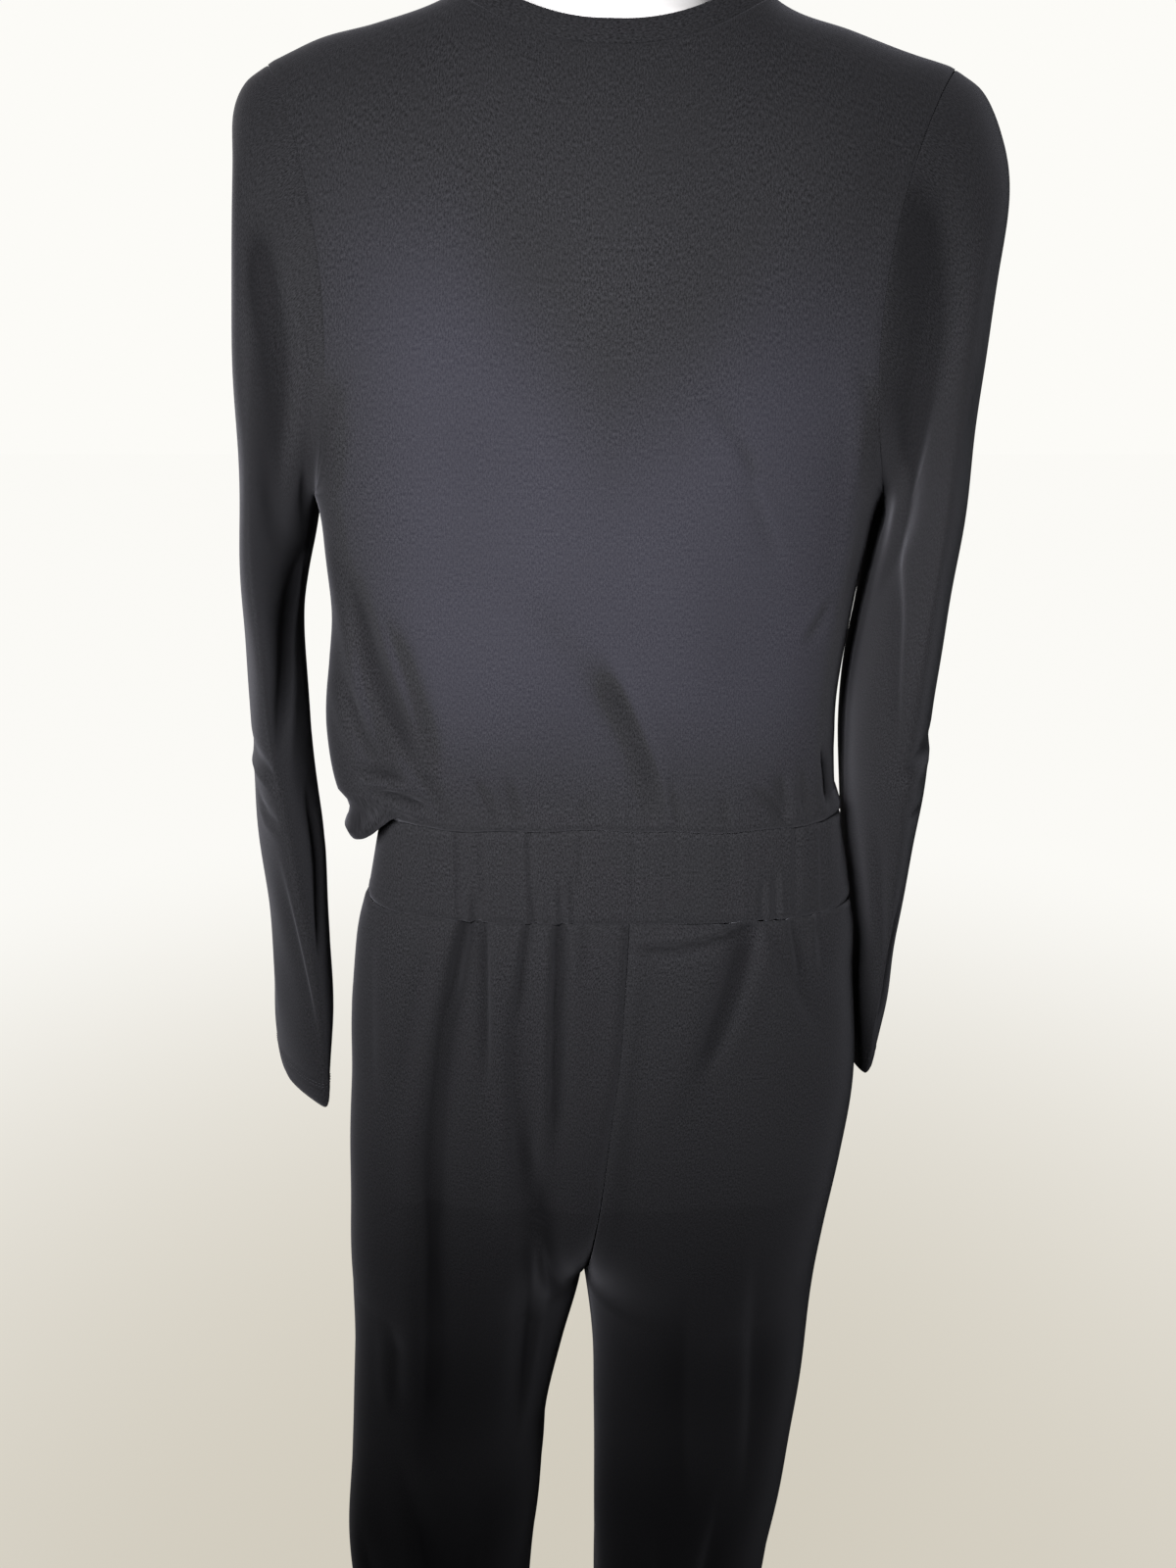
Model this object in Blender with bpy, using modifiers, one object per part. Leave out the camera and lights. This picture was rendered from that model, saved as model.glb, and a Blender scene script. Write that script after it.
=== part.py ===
"""A long-sleeved jersey jumpsuit on a limbless dress form, with its pole and round base.

Every cut piece of the jumpsuit is its own thin wall of cloth: front and back bodice,
neckband, two sleeves, front and back waistband, and four trouser panels. The walls are
lofts through sections that the tables below give, so they are open where cloth is open.

Frame: metres, +Z up, floor at z = 0. The pole stands on the origin, the wearer's left is
+X, the front faces -Y and the back +Y.
"""
import math

import bpy
import numpy as np

# ---------------------------------------------------------------- cloth and seams
JERSEY = 0.0014            # one layer of jersey with its nap
CASING = 0.0024            # waistband: two layers round the elastic
BAND = 0.0022              # neckband: folded double
SEAM_GAP = 0.0003          # between two pieces that are sewn together
QUARTER_TURN = math.pi / 2

# ---------------------------------------------------------------- bodice
WAIST_TOP = 1.0570         # seam between bodice and waistband
BODY_START = 1.0750        # where the body sections begin, above the blousing
ARMPIT_HEIGHT = 1.2550
CHEST_HEIGHT = 1.3735      # widest level of the armholes
NECK_HALF = 0.0880         # half the width of the neck seam at the shoulders
NECK_BACK_HEIGHT = 1.4785  # centre back of the neck seam
NECK_BACK_CURVE = 2.2      # power of the back neck curve
V_STEP = 2                 # armhole step whose row carries the point of the V
V_BOW = 0.006              # how far the V edges bow outwards
SHOULDER_EASE = 3          # power by which the front's rows turn to the shoulder line
NECK_TURN = 4              # how soon the wall stands upright towards a neck point
BACK_SQUARENESS = 3.0      # power of the flat back's sections
FRONT_SQUARENESS = 2.3
SHOULDER_FULLNESS = 0.80   # below 1 the cloth rolls over the shoulder more squarely
NECKBAND_WIDTH = 0.0115
NECKBAND_LIFT = 0.0004     # how far the thicker band stands out from the panels
NECKBAND_STAND = 0.60      # how steeply it rises from the shoulders, 0 at the V's point
BUST_RISE = 0.020          # fullness of the front over the form, on each side
BUST_SIDE = 0.080
BUST_HEIGHT = 1.262
BUST_SPREAD = (0.052, 0.062)

TORSO_COLUMNS = ("height", "left", "right", "back", "front", "side")
TORSO = (
    (1.0560, 0.1690, 0.1475, 0.0900, -0.0960, 0.0300),
    (1.0750, 0.1745, 0.1445, 0.0905, -0.1010, 0.0300),
    (1.1100, 0.1790, 0.1410, 0.0915, -0.1040, 0.0300),
    (1.1550, 0.1755, 0.1350, 0.0925, -0.1040, 0.0300),
    (1.1850, 0.1725, 0.1385, 0.0930, -0.1030, 0.0290),
    (1.2200, 0.1740, 0.1440, 0.0940, -0.1020, 0.0270),
    (1.2550, 0.1770, 0.1610, 0.0950, -0.1010, 0.0250),
    (1.3000, 0.2000, 0.1930, 0.0960, -0.0990, 0.0230),
    (1.3735, 0.2150, 0.2130, 0.0970, -0.0930, 0.0200),
)

RIDGE_COLUMNS = ("side", "left_height", "right_height")
RIDGE = (
    (0.000, 1.5420, 1.5400),
    (0.077, 1.5200, 1.5180),
    (0.088, 1.5140, 1.5110),
    (0.127, 1.5010, 1.4980),
    (0.160, 1.4940, 1.4875),
    (0.190, 1.4820, 1.4790),
)

ARMHOLE_COLUMNS = ("tip_side", "pit_side", "back_inset", "front_inset")
ARMHOLE = {
    "left": (0.1900, 0.1770, 0.0270, 0.0330),
    "right": (0.1870, 0.1610, 0.0300, 0.0320),
}

ARMHOLE_CURVE = 1.5        # power of the armholes' inward curve

# The blousing over the waist seam: each row is one step of the cloth from the seam up.
BLOUSE_COLUMNS = ("plain_out", "plain_up", "bag_out", "bag_up")
BLOUSE = (
    (0.0000, 0.0000, 0.0000, 0.0000),
    (0.0012, 0.0030, 0.0045, 0.0050),
    (0.0018, 0.0060, 0.0110, 0.0010),
    (0.0020, 0.0090, 0.0150, -0.0080),
    (0.0018, 0.0120, 0.0205, -0.0120),
    (0.0012, 0.0150, 0.0235, -0.0060),
)

BAG_FROM, BAG_FULL = 0.78, 0.97   # column places between which the bag grows
WAIST_ASPECT = 2.2         # half width of the waist over its half depth

# ---------------------------------------------------------------- waistband
WAIST_BOTTOM = 1.0005
WAISTBAND_COLUMNS = ("height", "left", "right", "back", "front", "side")
WAISTBAND = (
    (1.0005, 0.1600, 0.1590, 0.0965, -0.0985, 0.0250),
    (1.0290, 0.1540, 0.1535, 0.0935, -0.0945, 0.0270),
    (1.0567, 0.1480, 0.1475, 0.0905, -0.0920, 0.0300),
)
GATHER_COUNT = 17          # ruching ridges across the front, and as many at the back
GATHER_DEPTH = 0.0011
GATHER_DRIFT = (0.55, 2.3)  # how unevenly the gathers are spaced, and in what rhythm
GATHER_FADE = 0.3          # power by which the gathers die out at the side seams

# ---------------------------------------------------------------- sleeves
SLEEVE_COLUMNS = ("outer_side", "outer_height", "inner_side", "inner_height",
                  "middle", "half_depth", "turn", "inset")
SLEEVE = {
    "left": (
        (0.1896, 1.4820, 0.1770, 1.2550, 0.0200, 0.0600, 0, 1.0000),
        (0.2033, 1.4735, 0.1806, 1.2490, 0.0200, 0.0640, 0, 0.7500),
        (0.2110, 1.4590, 0.1845, 1.2400, 0.0200, 0.0670, 0, 0.5000),
        (0.2124, 1.4380, 0.1878, 1.2280, 0.0200, 0.0700, 0, 0.2800),
        (0.2135, 1.3900, 0.1913, 1.2130, 0.0200, 0.0720, 0, 0.1200),
        (0.2173, 1.3300, 0.1945, 1.1930, 0.0200, 0.0730, 2, 0.0400),
        (0.2226, 1.2620, 0.1965, 1.1700, 0.0200, 0.0730, 4, 0.0000),
        (0.2271, 1.1950, 0.1960, 1.1400, 0.0200, 0.0710, 6, 0.0000),
        (0.2310, 1.1320, 0.1950, 1.1030, 0.0210, 0.0680, 8, 0.0000),
        (0.2320, 1.0740, 0.1930, 1.0630, 0.0230, 0.0630, 11, 0.0000),
        (0.2310, 1.0250, 0.1902, 1.0200, 0.0250, 0.0600, 15, 0.0000),
        (0.2295, 0.9680, 0.1901, 0.9660, 0.0270, 0.0550, 20, 0.0000),
        (0.2283, 0.9200, 0.1947, 0.9200, 0.0280, 0.0510, 26, 0.0000),
        (0.2272, 0.8800, 0.2013, 0.8800, 0.0290, 0.0480, 30, 0.0000),
        (0.2250, 0.8540, 0.2070, 0.8540, 0.0300, 0.0460, 32, 0.0000),
    ),
    "right": (
        (0.1868, 1.4796, 0.1610, 1.2550, 0.0200, 0.0600, 0, 1.0000),
        (0.2040, 1.4690, 0.1656, 1.2490, 0.0200, 0.0640, 0, 0.7500),
        (0.2145, 1.4500, 0.1690, 1.2400, 0.0200, 0.0670, 0, 0.5000),
        (0.2194, 1.4250, 0.1701, 1.2280, 0.0200, 0.0700, 0, 0.2800),
        (0.2177, 1.3850, 0.1699, 1.2130, 0.0200, 0.0720, 0, 0.1200),
        (0.2134, 1.3260, 0.1685, 1.1930, 0.0200, 0.0730, 0, 0.0400),
        (0.2099, 1.2620, 0.1665, 1.1700, 0.0200, 0.0730, 0, 0.0000),
        (0.2074, 1.1950, 0.1640, 1.1380, 0.0180, 0.0710, 0, 0.0000),
        (0.2062, 1.1320, 0.1600, 1.1000, 0.0140, 0.0680, 0, 0.0000),
        (0.2051, 1.0740, 0.1566, 1.0610, 0.0080, 0.0630, 0, 0.0000),
        (0.2035, 1.0250, 0.1610, 1.0200, 0.0000, 0.0590, 0, 0.0000),
        (0.2021, 0.9680, 0.1705, 0.9660, -0.0120, 0.0550, 0, 0.0000),
        (0.2026, 0.9130, 0.1732, 0.9130, -0.0250, 0.0510, 0, 0.0000),
        (0.2015, 0.8700, 0.1755, 0.8700, -0.0370, 0.0480, 0, 0.0000),
        (0.1980, 0.8380, 0.1795, 0.8380, -0.0450, 0.0460, 0, 0.0000),
    ),
}
SLEEVE_FLATNESS = 1.25     # above 1 the empty sleeve closes to a soft edge front and back
SLEEVE_FLAT_FROM = 3       # ring from which the sleeve is flattened
SLEEVE_FLAT_RINGS = 3      # rings over which it turns fully flat
SLEEVE_GAP = 0.0004        # sideways gap between an armhole and its sleeve

# ---------------------------------------------------------------- trousers
LEG_TOP = 1.0002
SEAT_TOP = 0.8300          # where the centre seam starts to turn under
CROTCH_HEIGHT = 0.6750
CROTCH_CURVE = 2.0         # power of the centre seam's turn under the body
LEG_DROP = 0.0140          # from the crotch down to the first row of the leg's own tube
HEM_HEIGHT = 0.0700
LEG_SQUARENESS = 2.3

HIP_COLUMNS = ("height", "left", "right", "back", "front", "side", "seam")
HIP = (
    (1.0002, 0.1600, 0.1590, 0.0965, -0.0985, 0.0250, -0.0110),
    (0.9790, 0.1668, 0.1635, 0.1000, -0.1010, 0.0230, -0.0100),
    (0.9500, 0.1730, 0.1650, 0.1020, -0.1030, 0.0200, -0.0085),
    (0.9070, 0.1800, 0.1675, 0.1030, -0.1040, 0.0160, -0.0060),
    (0.8600, 0.1825, 0.1690, 0.1010, -0.1020, 0.0120, -0.0010),
    (0.8000, 0.1868, 0.1668, 0.0960, -0.0980, 0.0080, 0.0050),
    (0.7400, 0.1893, 0.1618, 0.0890, -0.0910, 0.0040, 0.0125),
    (0.6750, 0.1930, 0.1590, 0.0810, -0.0830, 0.0000, 0.0185),
)

LEG_COLUMNS = ("height", "outer", "inner", "back", "front", "side")
LEG = {
    "left": (
        (0.6750, 0.1930, 0.0187, 0.0810, -0.0830, 0.0000),
        (0.6600, 0.1943, 0.0212, 0.0790, -0.0810, 0.0000),
        (0.6030, 0.1985, 0.0350, 0.0735, -0.0765, 0.0000),
        (0.5450, 0.2030, 0.0475, 0.0680, -0.0720, 0.0000),
        (0.4650, 0.2090, 0.0545, 0.0620, -0.0670, 0.0000),
        (0.4000, 0.2120, 0.0610, 0.0580, -0.0630, 0.0000),
        (0.2400, 0.2110, 0.0720, 0.0500, -0.0550, -0.0010),
        (0.0700, 0.2100, 0.0850, 0.0430, -0.0480, -0.0020),
    ),
    "right": (
        (0.6750, 0.1590, -0.0183, 0.0810, -0.0830, 0.0000),
        (0.6600, 0.1580, -0.0164, 0.0790, -0.0810, 0.0000),
        (0.6030, 0.1535, -0.0108, 0.0735, -0.0765, 0.0000),
        (0.5450, 0.1492, -0.0098, 0.0680, -0.0720, 0.0000),
        (0.4650, 0.1430, -0.0092, 0.0620, -0.0670, 0.0000),
        (0.4000, 0.1375, -0.0092, 0.0580, -0.0630, 0.0000),
        (0.2400, 0.1220, -0.0096, 0.0500, -0.0550, -0.0010),
        (0.0700, 0.1100, -0.0104, 0.0430, -0.0480, -0.0020),
    ),
}

# ---------------------------------------------------------------- folds
# Each fold runs from (side, height) to (side, height); depth is how far it sinks in.
FOLD_COLUMNS = ("from_side", "from_height", "to_side", "to_height", "depth", "half_width")
BODICE_BACK_FOLDS = (
    (0.150, 1.205, 0.104, 1.072, 0.0050, 0.0090),
    (0.160, 1.180, 0.132, 1.082, 0.0035, 0.0080),
    (0.090, 1.130, 0.076, 1.070, 0.0025, 0.0080),
    (-0.013, 1.145, -0.040, 1.066, 0.0035, 0.0080),
    (-0.088, 1.260, -0.118, 1.190, 0.0022, 0.0090),
    (-0.095, 1.110, -0.112, 1.068, 0.0025, 0.0080),
    (0.030, 1.095, 0.022, 1.066, 0.0020, 0.0070),
)
BODICE_FRONT_FOLDS = (
    (0.135, 1.190, 0.092, 1.074, 0.0045, 0.0090),
    (0.060, 1.170, 0.040, 1.070, 0.0030, 0.0090),
    (-0.030, 1.150, -0.018, 1.068, 0.0030, 0.0080),
    (-0.105, 1.185, -0.080, 1.070, 0.0035, 0.0090),
    (0.150, 1.140, 0.125, 1.080, 0.0035, 0.0080),
)
LEG_BACK_FOLDS = (
    (0.091, 0.998, 0.127, 0.760, 0.0055, 0.0085),
    (0.127, 0.760, 0.142, 0.520, 0.0040, 0.0100),
    (0.079, 0.998, 0.088, 0.730, 0.0040, 0.0060),
    (0.052, 0.998, 0.050, 0.770, 0.0050, 0.0060),
    (0.031, 0.992, 0.041, 0.770, 0.0080, 0.0065),
    (0.041, 0.770, 0.060, 0.640, 0.0060, 0.0080),
    (-0.085, 0.996, -0.030, 0.984, 0.0040, 0.0050),
    (-0.092, 0.992, -0.066, 0.900, 0.0035, 0.0120),
    (-0.100, 0.990, -0.128, 0.930, 0.0022, 0.0090),
    (-0.060, 0.700, -0.066, 0.480, 0.0030, 0.0140),
    (0.158, 0.930, 0.163, 0.700, 0.0030, 0.0090),
)
LEG_FRONT_FOLDS = (
    (0.110, 0.998, 0.118, 0.790, 0.0050, 0.0080),
    (0.078, 0.998, 0.090, 0.700, 0.0055, 0.0080),
    (0.044, 0.998, 0.052, 0.800, 0.0045, 0.0065),
    (-0.040, 0.998, -0.052, 0.780, 0.0050, 0.0070),
    (-0.078, 0.998, -0.086, 0.740, 0.0050, 0.0080),
    (-0.112, 0.998, -0.116, 0.840, 0.0040, 0.0080),
    (0.125, 0.700, 0.140, 0.420, 0.0040, 0.0120),
    (-0.085, 0.660, -0.074, 0.400, 0.0035, 0.0120),
)
FOLD_FADE = 0.020          # length over which a fold dies out past each of its ends
FOLDS_FULL_AT = 0.16       # share of a hip panel's width over which folds grow to full depth
FOLD_SHELTER = 8           # power that keeps the bodice's folds off its side seams

# ---------------------------------------------------------------- form and stand
FORM_COLUMNS = ("height", "width", "back", "front", "squareness")
FORM = (
    (0.7890, 0.1380, 0.0700, -0.0700, 2.6),
    (0.7960, 0.1420, 0.0740, -0.0745, 2.6),
    (0.8700, 0.1500, 0.0820, -0.0820, 2.5),
    (0.9400, 0.1500, 0.0840, -0.0850, 2.5),
    (1.0000, 0.1440, 0.0800, -0.0820, 2.5),
    (1.0600, 0.1300, 0.0750, -0.0760, 2.5),
    (1.1300, 0.1150, 0.0730, -0.0780, 2.4),
    (1.1900, 0.1190, 0.0770, -0.0860, 2.4),
    (1.2500, 0.1310, 0.0810, -0.0960, 2.3),
    (1.3100, 0.1420, 0.0830, -0.0900, 2.3),
    (1.3700, 0.1620, 0.0820, -0.0780, 2.3),
    (1.4200, 0.1700, 0.0760, -0.0590, 2.2),
    (1.4500, 0.1660, 0.0680, -0.0440, 2.1),
    (1.4680, 0.1520, 0.0610, -0.0330, 2.0),
    (1.4820, 0.1220, 0.0560, -0.0270, 2.0),
    (1.4920, 0.0860, 0.0560, -0.0300, 2.0),
    (1.5010, 0.0640, 0.0570, -0.0360, 2.0),
    (1.5140, 0.0550, 0.0560, -0.0400, 2.0),
    (1.5600, 0.0530, 0.0530, -0.0440, 2.0),
    (1.5680, 0.0500, 0.0500, -0.0410, 2.0),
)
FORM_SIDES = 24
POLE_RADIUS = 0.0070
BASE_RADIUS = 0.1700
BASE_THICKNESS = 0.0080
BASE_EDGE = 0.0020
SOCKET_RADIUS = 0.0190
SOCKET_HEIGHT = 0.0300
ROUND_SIDES = 28
REST_GAP = 0.0003

# ---------------------------------------------------------------- mesh density
BODICE_COLUMNS = 20
NECK_COLUMNS = (0.0, 0.28, 0.55, 0.78, 0.93)   # columns inside each neck point, which is 1
NORMAL_REACH = 0.001       # distance over which the torso's slopes are measured
BODY_ROWS = 9
ARMHOLE_STEPS = 10
PIT_ROW = len(BLOUSE) + BODY_ROWS - 1          # the bodice's row at the armpits
V_ROW = PIT_ROW + V_STEP                       # its row at the point of the V
LEG_PANEL_COLUMNS = 15
LEG_ROWS_HIP = 8
LEG_ROWS_SEAT = 6
LEG_ROWS_LEG = 9
WAISTBAND_STEPS = 54


def column(table, names, name):
    """One named column of a table, as an array."""
    return np.array([row[names.index(name)] for row in table], dtype=float)


def smooth(at, knots, values):
    """Cubic curve through (knots, values), with slopes from each knot's neighbours."""
    order = np.argsort(knots)
    x, y = knots[order], values[order]
    slope = np.gradient(y, x)
    at = np.clip(np.asarray(at, dtype=float), x[0], x[-1])
    i = np.clip(np.searchsorted(x, at) - 1, 0, len(x) - 2)
    step = x[i + 1] - x[i]
    t = (at - x[i]) / step
    return ((2 * t**3 - 3 * t**2 + 1) * y[i] + (t**3 - 2 * t**2 + t) * step * slope[i]
            + (3 * t**2 - 2 * t**3) * y[i + 1] + (t**3 - t**2) * step * slope[i + 1])


def read(table, names, name, at, key=None):
    """A named column of a table, read smoothly at the given values of its key column."""
    return smooth(at, column(table, names, key or names[0]), column(table, names, name))


def unit(vectors):
    """The same vectors, one unit long."""
    return vectors / np.maximum(np.linalg.norm(vectors, axis=-1, keepdims=True), 1e-12)


def fold_depth(side, height, folds):
    """How far the folds sink the cloth in at each point of a panel."""
    total = np.zeros_like(side)
    for x0, z0, x1, z1, depth, half_width in folds:
        length = math.hypot(x1 - x0, z1 - z0)
        along_x, along_z = (x1 - x0) / length, (z1 - z0) / length
        along = (side - x0) * along_x + (height - z0) * along_z
        across = (side - x0) * along_z - (height - z0) * along_x
        past = np.maximum(np.maximum(-along, along - length), 0.0)
        total += depth * np.exp(-(across / half_width) ** 2 - (past / FOLD_FADE) ** 2)
    return total


def grid_normals(points, closed=False):
    """Outward normals of a grid of points: rows run upwards, columns anticlockwise."""
    if closed:
        across = np.roll(points, -1, axis=1) - np.roll(points, 1, axis=1)
    else:
        across = np.gradient(points, axis=1)
    return unit(np.cross(across, np.gradient(points, axis=0)))


def share(first, second):
    """Give two rows or columns of normals their common mean, in place."""
    mean = unit(first + second)
    first[...] = mean
    second[...] = mean


def trim(points, axis, end, distance=SEAM_GAP / 2):
    """Pull one edge of a grid back along the cloth by half a seam gap, in place."""
    lines = np.moveaxis(points, axis, 0)
    edge, inside = (0, 1) if end == "first" else (-1, -2)
    lines[edge] += unit(lines[inside] - lines[edge]) * distance


def grid_quads(rows, columns, closed=False):
    """Corner indices of the cells of a grid, anticlockwise seen from outside."""
    index = np.arange(rows * columns).reshape(rows, columns)
    right = np.roll(index, -1, axis=1)
    last = columns if closed else columns - 1
    cells = np.stack([index[:-1], right[:-1], right[1:], index[1:]], axis=-1)
    return cells[:, :last].reshape(-1, 4)


def make_material(name, colour, roughness, metallic=0.0):
    """A Principled material."""
    material = bpy.data.materials.new(name)
    material.use_nodes = True
    shader = material.node_tree.nodes["Principled BSDF"]
    shader.inputs["Base Color"].default_value = (*colour, 1.0)
    shader.inputs["Roughness"].default_value = roughness
    shader.inputs["Metallic"].default_value = metallic
    material.diffuse_color = (*colour, 1.0)
    return material


def add_mesh(name, points, faces, material):
    """A smooth-shaded mesh object in the jumpsuit's collection."""
    mesh = bpy.data.meshes.new(name)
    mesh.from_pydata(points.tolist(), [], faces)
    mesh.materials.append(material)
    mesh.shade_smooth()
    mesh.validate()
    thing = bpy.data.objects.new(name, mesh)
    collection.objects.link(thing)
    return thing


def cloth_wall(name, points, normals, quads, thickness, material):
    """A closed wall: the outer face, an inner face under it, and a rim along every edge."""
    points, normals = points.reshape(-1, 3), normals.reshape(-1, 3)
    count = len(points)
    outer = [tuple(quad) for quad in quads.tolist()]
    directed = {}
    for quad in outer:
        for start, end in zip(quad, quad[1:] + quad[:1]):
            directed[(start, end)] = True
    rim = [(end, start, start + count, end + count)
           for start, end in directed if (end, start) not in directed]
    inner = [tuple(corner + count for corner in reversed(quad)) for quad in outer]
    both = np.concatenate([points, points - thickness * normals])
    used = sorted({corner for face in outer + rim + inner for corner in face})
    renumber = {old: new for new, old in enumerate(used)}
    faces = [tuple(renumber[corner] for corner in face) for face in outer + inner + rim]
    return add_mesh(name, both[used], faces, material)


# ---------------------------------------------------------------- the torso's surface
def torso(name, height):
    """One column of the torso table at the given heights."""
    return read(TORSO, TORSO_COLUMNS, name, np.minimum(height, CHEST_HEIGHT))


def ridge_height(side):
    """Height of the shoulder line over each side distance; it runs on over the neck."""
    left = read(RIDGE, RIDGE_COLUMNS, "left_height", np.abs(side))
    right = read(RIDGE, RIDGE_COLUMNS, "right_height", np.abs(side))
    return np.where(side > 0, left, right)


def torso_depth(side, height, face):
    """Front or back (y) of the cloth over the torso at each side distance and height.

    Up to the chest each section is a superellipse. Above it the cloth rolls over to the
    shoulder line, where front and back meet.
    """
    power = BACK_SQUARENESS if face == "back" else FRONT_SQUARENESS
    middle = torso("side", height)
    reach = torso(face, height) - middle
    half = np.where(side > 0, torso("left", height), torso("right", height))
    inside = np.clip(1 - (np.abs(side) / half) ** power, 0, 1)
    depth = reach * inside ** (1 / power)
    rise = (height - CHEST_HEIGHT) / (ridge_height(side) - CHEST_HEIGHT)
    roll = np.clip(1 - np.clip(rise, 0, 1) ** 2, 0, 1) ** (SHOULDER_FULLNESS / 2)
    depth = depth * roll
    if face == "front":
        for sign in (1, -1):
            spread_side, spread_height = BUST_SPREAD
            depth -= BUST_RISE * np.exp(-((side - sign * BUST_SIDE) / spread_side) ** 2
                                        - ((height - BUST_HEIGHT) / spread_height) ** 2
                                        ) * inside ** (1 / power) * roll
    return middle + depth


def torso_normal(side, height, face):
    """Outward normal of the torso's surface, from its slopes just below each point."""
    reach = NORMAL_REACH
    below = height - 2 * reach
    slope_x = (torso_depth(side + reach, below, face)
               - torso_depth(side - reach, below, face)) / (2 * reach)
    slope_z = (torso_depth(side, below + reach, face)
               - torso_depth(side, below - reach, face)) / (2 * reach)
    outward = 1 if face == "back" else -1
    return unit(outward * np.stack([-slope_x, np.ones_like(slope_x), -slope_z], axis=-1))


def armhole(sleeve, name):
    """One named value of an armhole."""
    return ARMHOLE[sleeve][ARMHOLE_COLUMNS.index(name)]


def shoulder_tip(sleeve):
    """Side distance and height of the outer end of a shoulder seam."""
    side = armhole(sleeve, "tip_side")
    return side, float(ridge_height(np.array(side if sleeve == "left" else -side)))


def armhole_edge(sleeve, face, steps):
    """Armhole points from the armpit (step 0) up to the shoulder tip (last step)."""
    pit_side = armhole(sleeve, "pit_side")
    tip_side, tip_height = shoulder_tip(sleeve)
    angle = math.pi * (1 - steps / ARMHOLE_STEPS)
    up = tip_height - CHEST_HEIGHT
    down = CHEST_HEIGHT - ARMPIT_HEIGHT
    height = CHEST_HEIGHT + np.where(np.cos(angle) > 0, up, down) * np.cos(angle)
    share_up = (height - ARMPIT_HEIGHT) / (tip_height - ARMPIT_HEIGHT)
    inset = armhole(sleeve, face + "_inset") * np.sin(angle) ** ARMHOLE_CURVE
    return pit_side + (tip_side - pit_side) * share_up - inset, height


def neck_place():
    """Place of the neck points among the bodice columns, which run from -1 to 1."""
    return NECK_HALF / shoulder_tip("left")[0]


def neck_point(sleeve):
    """Side distance of a neck point, where shoulder seam and neckband meet."""
    return neck_place() * shoulder_tip(sleeve)[0]


def neck_seam_height(side):
    """Height of the back neck seam over each side distance."""
    half = np.where(side > 0, neck_point("left"), neck_point("right"))
    shoulder = ridge_height(np.sign(side) * half)
    rise = (np.abs(side) / half) ** NECK_BACK_CURVE
    return NECK_BACK_HEIGHT + (shoulder - NECK_BACK_HEIGHT) * rise


def column_places():
    """Places of the bodice columns from -1 to 1, with one at each neck point."""
    neck_angle = math.asin(neck_place())
    inner = neck_angle * np.array(NECK_COLUMNS)
    outer = np.linspace(neck_angle, QUARTER_TURN, BODICE_COLUMNS // 2 - len(NECK_COLUMNS) + 1)
    half = np.sin(np.concatenate([inner, outer]))
    return np.concatenate([-half[:0:-1], half])


def waist_ring(places, face):
    """Outline of the waist seam: side distance and depth at each column place."""
    half_left = read(WAISTBAND, WAISTBAND_COLUMNS, "left", WAIST_TOP)
    half_right = read(WAISTBAND, WAISTBAND_COLUMNS, "right", WAIST_TOP)
    middle = read(WAISTBAND, WAISTBAND_COLUMNS, "side", WAIST_TOP)
    reach = read(WAISTBAND, WAISTBAND_COLUMNS, face, WAIST_TOP) - middle
    power = BACK_SQUARENESS if face == "back" else FRONT_SQUARENESS
    side = np.where(places > 0, places * half_left, places * half_right)
    return side, middle + reach * (1 - np.abs(places) ** power) ** (1 / power)


def gather_wave(places, fade):
    """Ruching: an uneven cosine wave across the waist, from 0 to -1 times its fade."""
    drift, rhythm = GATHER_DRIFT
    phase = GATHER_COUNT * places / 2 + drift * np.sin(rhythm * math.pi * places)
    return -0.5 * (1 - np.cos(2 * math.pi * phase)) * fade


def blouse_rows(places, face):
    """Rows of the bodice between the waist seam and the body, bagging on the left."""
    waist_x, waist_y = waist_ring(places, face)
    bag = np.clip((places - BAG_FROM) / (BAG_FULL - BAG_FROM), 0, 1)
    bag = bag * bag * (3 - 2 * bag)
    body_x = np.where(places > 0, places * torso("left", BODY_START),
                      places * torso("right", BODY_START))
    body_y = torso_depth(body_x, np.full_like(body_x, BODY_START), face)
    from_middle = waist_y - torso("side", WAIST_TOP)
    outward = unit(np.stack([waist_x, from_middle * WAIST_ASPECT], axis=-1))
    rows = []
    for step, (plain_out, plain_up, bag_out, bag_up) in enumerate(BLOUSE):
        out = plain_out + (bag_out - plain_out) * bag
        up = plain_up + (bag_up - plain_up) * bag
        pull = (1 - bag) * step / len(BLOUSE)
        x = (waist_x + outward[:, 0] * out) * (1 - pull) + body_x * pull
        y = (waist_y + outward[:, 1] * out) * (1 - pull) + body_y * pull
        rows.append(np.stack([x, y, WAIST_TOP + SEAM_GAP + up], axis=-1))
    return rows


def body_rows(places, face):
    """Rows of the bodice from above the blousing to the armpit."""
    rows = []
    for height in np.linspace(BODY_START, ARMPIT_HEIGHT, BODY_ROWS):
        x = np.where(places > 0, places * torso("left", height),
                     places * torso("right", height))
        z = np.full_like(x, height)
        rows.append(np.stack([x, torso_depth(x, z, face), z], axis=-1))
    return rows


def sink_folds(points, face, folds, places):
    """Press the folds into a panel, towards the middle of the body, but not its edges."""
    inward = (-1 if face == "back" else 1) * (1 - places ** FOLD_SHELTER)
    points[..., 1] += inward * fold_depth(points[..., 0], points[..., 2], folds)


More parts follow.
